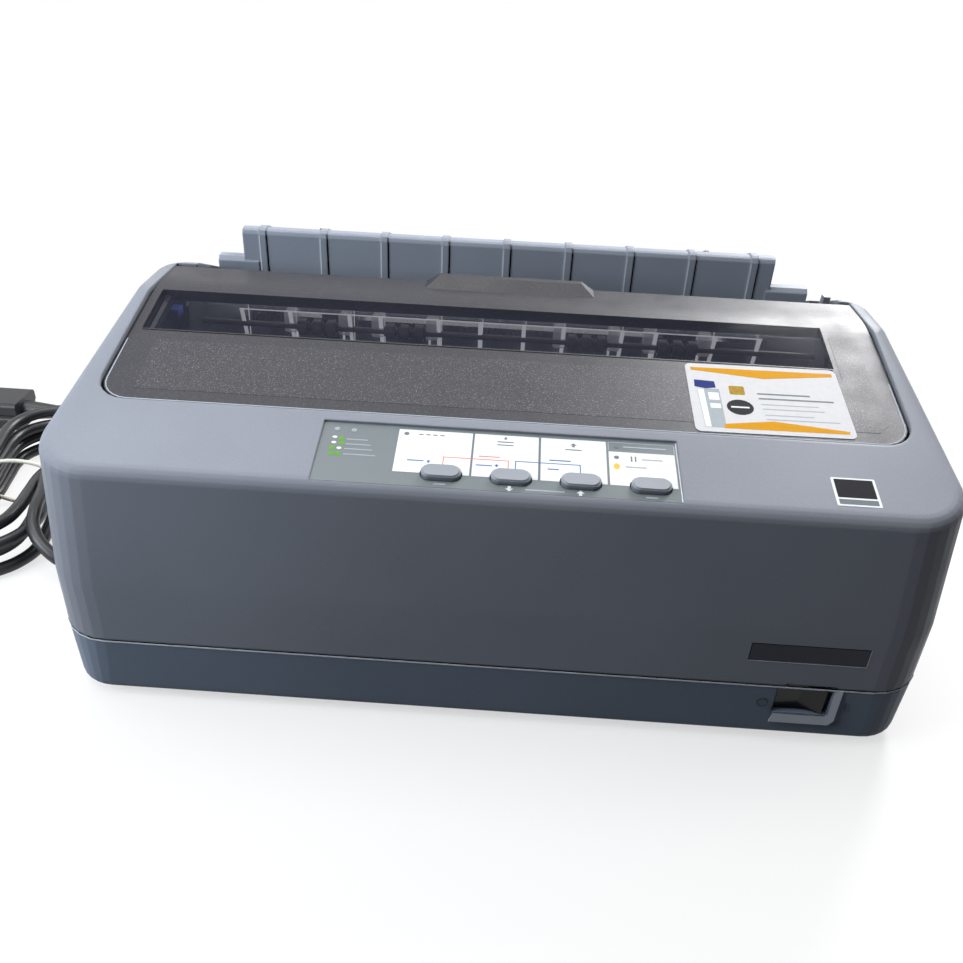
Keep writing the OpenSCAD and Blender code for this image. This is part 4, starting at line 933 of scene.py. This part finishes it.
# The ribs' front edges lean out of the plate as they rise
RIB_FOOT, RIB_RISE = 107.0, 18.0
RIB_OUT, RIB_LEAN = 2.2, 6.0
FRAME_OUT = 8.0
CARRIER_AT, CARRIER_HALF = 13.2, 3.0
LEG_AT = 11.6
SIDES = (-1, 1)


def make_guide():
    """Painted highlights and painted shadows along the edges of the raised strips, on the face of
    the guide.
    """
    middles = [GUIDE_SHIFT + (i - STRIPS // 2) * STRIP_PITCH for i in range(STRIPS)]
    light, dark = [steep(*[(x + at, GUIDE_FOOT, GUIDE_TOP) for x in middles])
        for at in (0.25 - STRIP_W / 2, 0.25 + STRIP_W / 2)]
    prints([
        ("guide_edges_highlight", light, 0.6, -0.06, 0.06, painted_highlight_white),
        ("guide_edges_shadow", dark, 0.6, -0.74, -0.62, dark_lines_and_shade),
    ], place=upright(GUIDE_Y), body="guide", slot="guide_plastic")


def on_rib(x):
    """Places on the leaning front edge of the rib at x."""
    def place(u, v, h):
        return mm(x + u, PLATE_Y - RIB_OUT - RIB_LEAN * (v - RIB_FOOT) / RIB_RISE - h, v)

    return place


def make_paper_path():
    """Painted highlights with a painted glow on the edges of the clear ribs, and carriers at the
    tension rollers with a painted glow.
    """
    edge = [(-0.9, 107.2), (0.9, 107.2), (1.0, 124.8), (-1.0, 124.8)]
    for i, x in enumerate(RIB_X):
        prints([("rib_edge_%d" % (i + 1), [edge], None, -0.05, 0.18, clear_painted_glow)],
            place=on_rib(x), slot="clear_plastic")
    roots = steep(*[(x + 0.9, 106.5, 124.5) for x in RIB_X])
    carriers = [x + side * CARRIER_AT for x in CLUSTER_X for side in SIDES]
    blocks = [patch(x - CARRIER_HALF, x + CARRIER_HALF, 113.0, 123.5, 1.2) for x in carriers]
    legs = steep(*[(x + side * LEG_AT, 106.2, 113.4) for x in CLUSTER_X for side in SIDES])
    prints([
        ("rib_roots", roots, 0.35, -0.1, 0.3, clear_painted_glow),
        ("roller_carriers", blocks, None, -0.3, 6.0, pale_painted_glow),
        ("roller_legs", legs, 0.9, -0.2, 1.6, clear_painted_glow),
    ], place=upright(PLATE_Y), slot="clear_plastic")
    top = level((RIB_X[0] - 1, RIB_X[-1] + 1, 124.4))
    prints([("frame_edge", top, 0.5, -0.1, 0.2, clear_painted_glow)], place=upright(PLATE_Y - FRAME_OUT),
        slot="clear_plastic")


make_panel()
make_card()
make_label()
make_cover()
make_joint()
make_front()
make_guide()
make_paper_path()

# ---------- light and floor, in metres ----------

# Way to the brightest part of the room, its two colours, and where the second one is full
ROOM_LEAN = (-0.24, 0.55, 0.52)
ROOM_LOW = (0.012, 0.013, 0.015, 1)
ROOM_HIGH = (0.8, 0.81, 0.84, 1)
ROOM_FULL = 0.85
FLOOR_HALF = 4.0
FLOOR_Z = -0.0003
FLOOR_BOUNCE = (0.03, 0.03, 0.033, 1)
FLOOR_SEEN = (0.97, 0.97, 0.97, 1)
# The floor shines white to the eye, by the first share near the printer and the second far off
WHITE_NEAR, WHITE_FAR = 0.18, 0.38
WHITE_SHARES = (0.6, 1.0)
# Name, place, what it faces, size, power and colour
LAMPS = (
    ("overhead", (-0.4, 0.05, 1.7), (-0.05, 0, 0.1), (1.3, 1.0), 16, (1, 0.985, 0.955)),
    ("rear_window", (0.85, 1.4, 1.2), (0.15, -0.02, 0.13), (0.45, 0.9), 38, (1, 1, 1)),
    ("front_window", (-0.75, -0.55, 0.95), (-0.1, -0.13, 0.11), (0.3, 0.3), 1.3, (0.9, 0.95, 1)),
    ("left_window", (-0.46, -0.28, 0.28), (-0.1, -0.1, 0.09), (0.25, 0.25), 1.45,
        (0.82, 0.91, 1)),
)


def eye_rays(nodes, links):
    """1 for rays from the camera, from glossy surfaces and through clear ones."""
    path = nodes.new("ShaderNodeLightPath")
    found = path.outputs["Is Camera Ray"]
    for name in ("Is Glossy Ray", "Is Transmission Ray"):
        either = nodes.new("ShaderNodeMath")
        either.operation = "MAXIMUM"
        links.new(found, either.inputs[0])
        links.new(path.outputs[name], either.inputs[1])
        found = either.outputs["Value"]
    return found


def make_world():
    """Soft room light, brighter from above and behind, white where the eye meets it."""
    world = bpy.data.worlds.new("room")
    bpy.context.scene.world = world
    world.use_nodes = True
    nodes, links = world.node_tree.nodes, world.node_tree.links
    lean = nodes.new("ShaderNodeVectorMath")
    lean.operation = "DOT_PRODUCT"
    lean.inputs[1].default_value = ROOM_LEAN
    links.new(nodes.new("ShaderNodeTexCoord").outputs["Generated"], lean.inputs[0])
    shade = nodes.new("ShaderNodeValToRGB")
    for stop, at, value in zip(shade.color_ramp.elements, (0.0, ROOM_FULL), (ROOM_LOW, ROOM_HIGH)):
        stop.position = at
        stop.color = value
    links.new(lean.outputs["Value"], shade.inputs["Fac"])
    room = nodes["Background"]
    links.new(shade.outputs["Color"], room.inputs["Color"])
    room.inputs["Strength"].default_value = 1.0
    white = nodes.new("ShaderNodeBackground")
    white.inputs["Color"].default_value = WHITE
    mix = nodes.new("ShaderNodeMixShader")
    links.new(eye_rays(nodes, links), mix.inputs["Fac"])
    links.new(room.outputs["Background"], mix.inputs[1])
    links.new(white.outputs["Background"], mix.inputs[2])
    links.new(mix.outputs["Shader"], nodes["World Output"].inputs["Surface"])


def floor_look():
    """Dull white that keeps the shadow, dark to other rays, with a white of its own to the eye."""
    m = Maker("floor")
    seen = eye_rays(m.nodes, m.links)
    m.base(m.mix(seen, FLOOR_BOUNCE, FLOOR_SEEN))
    m.set("Roughness", 0.9)
    m.set("Specular IOR Level", 0.0)
    away = m.nodes.new("ShaderNodeVectorMath")
    away.operation = "LENGTH"
    m.link(m.place, away.inputs[0])
    share = m.nodes.new("ShaderNodeMath")
    share.operation = "MULTIPLY"
    m.link(seen, share.inputs[0])
    grown = m.spread(away.outputs["Value"], WHITE_NEAR, WHITE_FAR, *WHITE_SHARES)
    m.link(grown, share.inputs[1])
    white = m.nodes.new("ShaderNodeEmission")
    white.inputs["Strength"].default_value = 1.0
    blend = m.nodes.new("ShaderNodeMixShader")
    m.link(share.outputs["Value"], blend.inputs["Fac"])
    m.link(m.shader.outputs["BSDF"], blend.inputs[1])
    m.link(white.outputs["Emission"], blend.inputs[2])
    m.link(blend.outputs["Shader"], m.nodes["Material Output"].inputs["Surface"])
    return m.material


def make_floor():
    corners = [(x * FLOOR_HALF, y * FLOOR_HALF, FLOOR_Z) for x, y in
        ((-1, -1), (1, -1), (1, 1), (-1, 1))]
    mesh = bpy.data.meshes.new("floor")
    mesh.from_pydata(corners, [], [(0, 1, 2, 3)])
    floor = bpy.data.objects.new("floor", mesh)
    bpy.context.collection.objects.link(floor)
    mesh.materials.append(floor_look())


def add_lamp(name, at, towards, size, power, shade):
    data = bpy.data.lights.new(name, "AREA")
    data.shape = "RECTANGLE"
    data.size, data.size_y = size
    data.energy = power
    data.color = shade
    lamp = bpy.data.objects.new(name, data)
    lamp.location = at
    lamp.rotation_euler = (Vector(towards) - Vector(at)).to_track_quat("-Z", "Y").to_euler()
    bpy.context.collection.objects.link(lamp)


make_world()
make_floor()
for row in LAMPS:
    add_lamp(*row)
scene = bpy.context.scene
scene.view_settings.view_transform = "Standard"
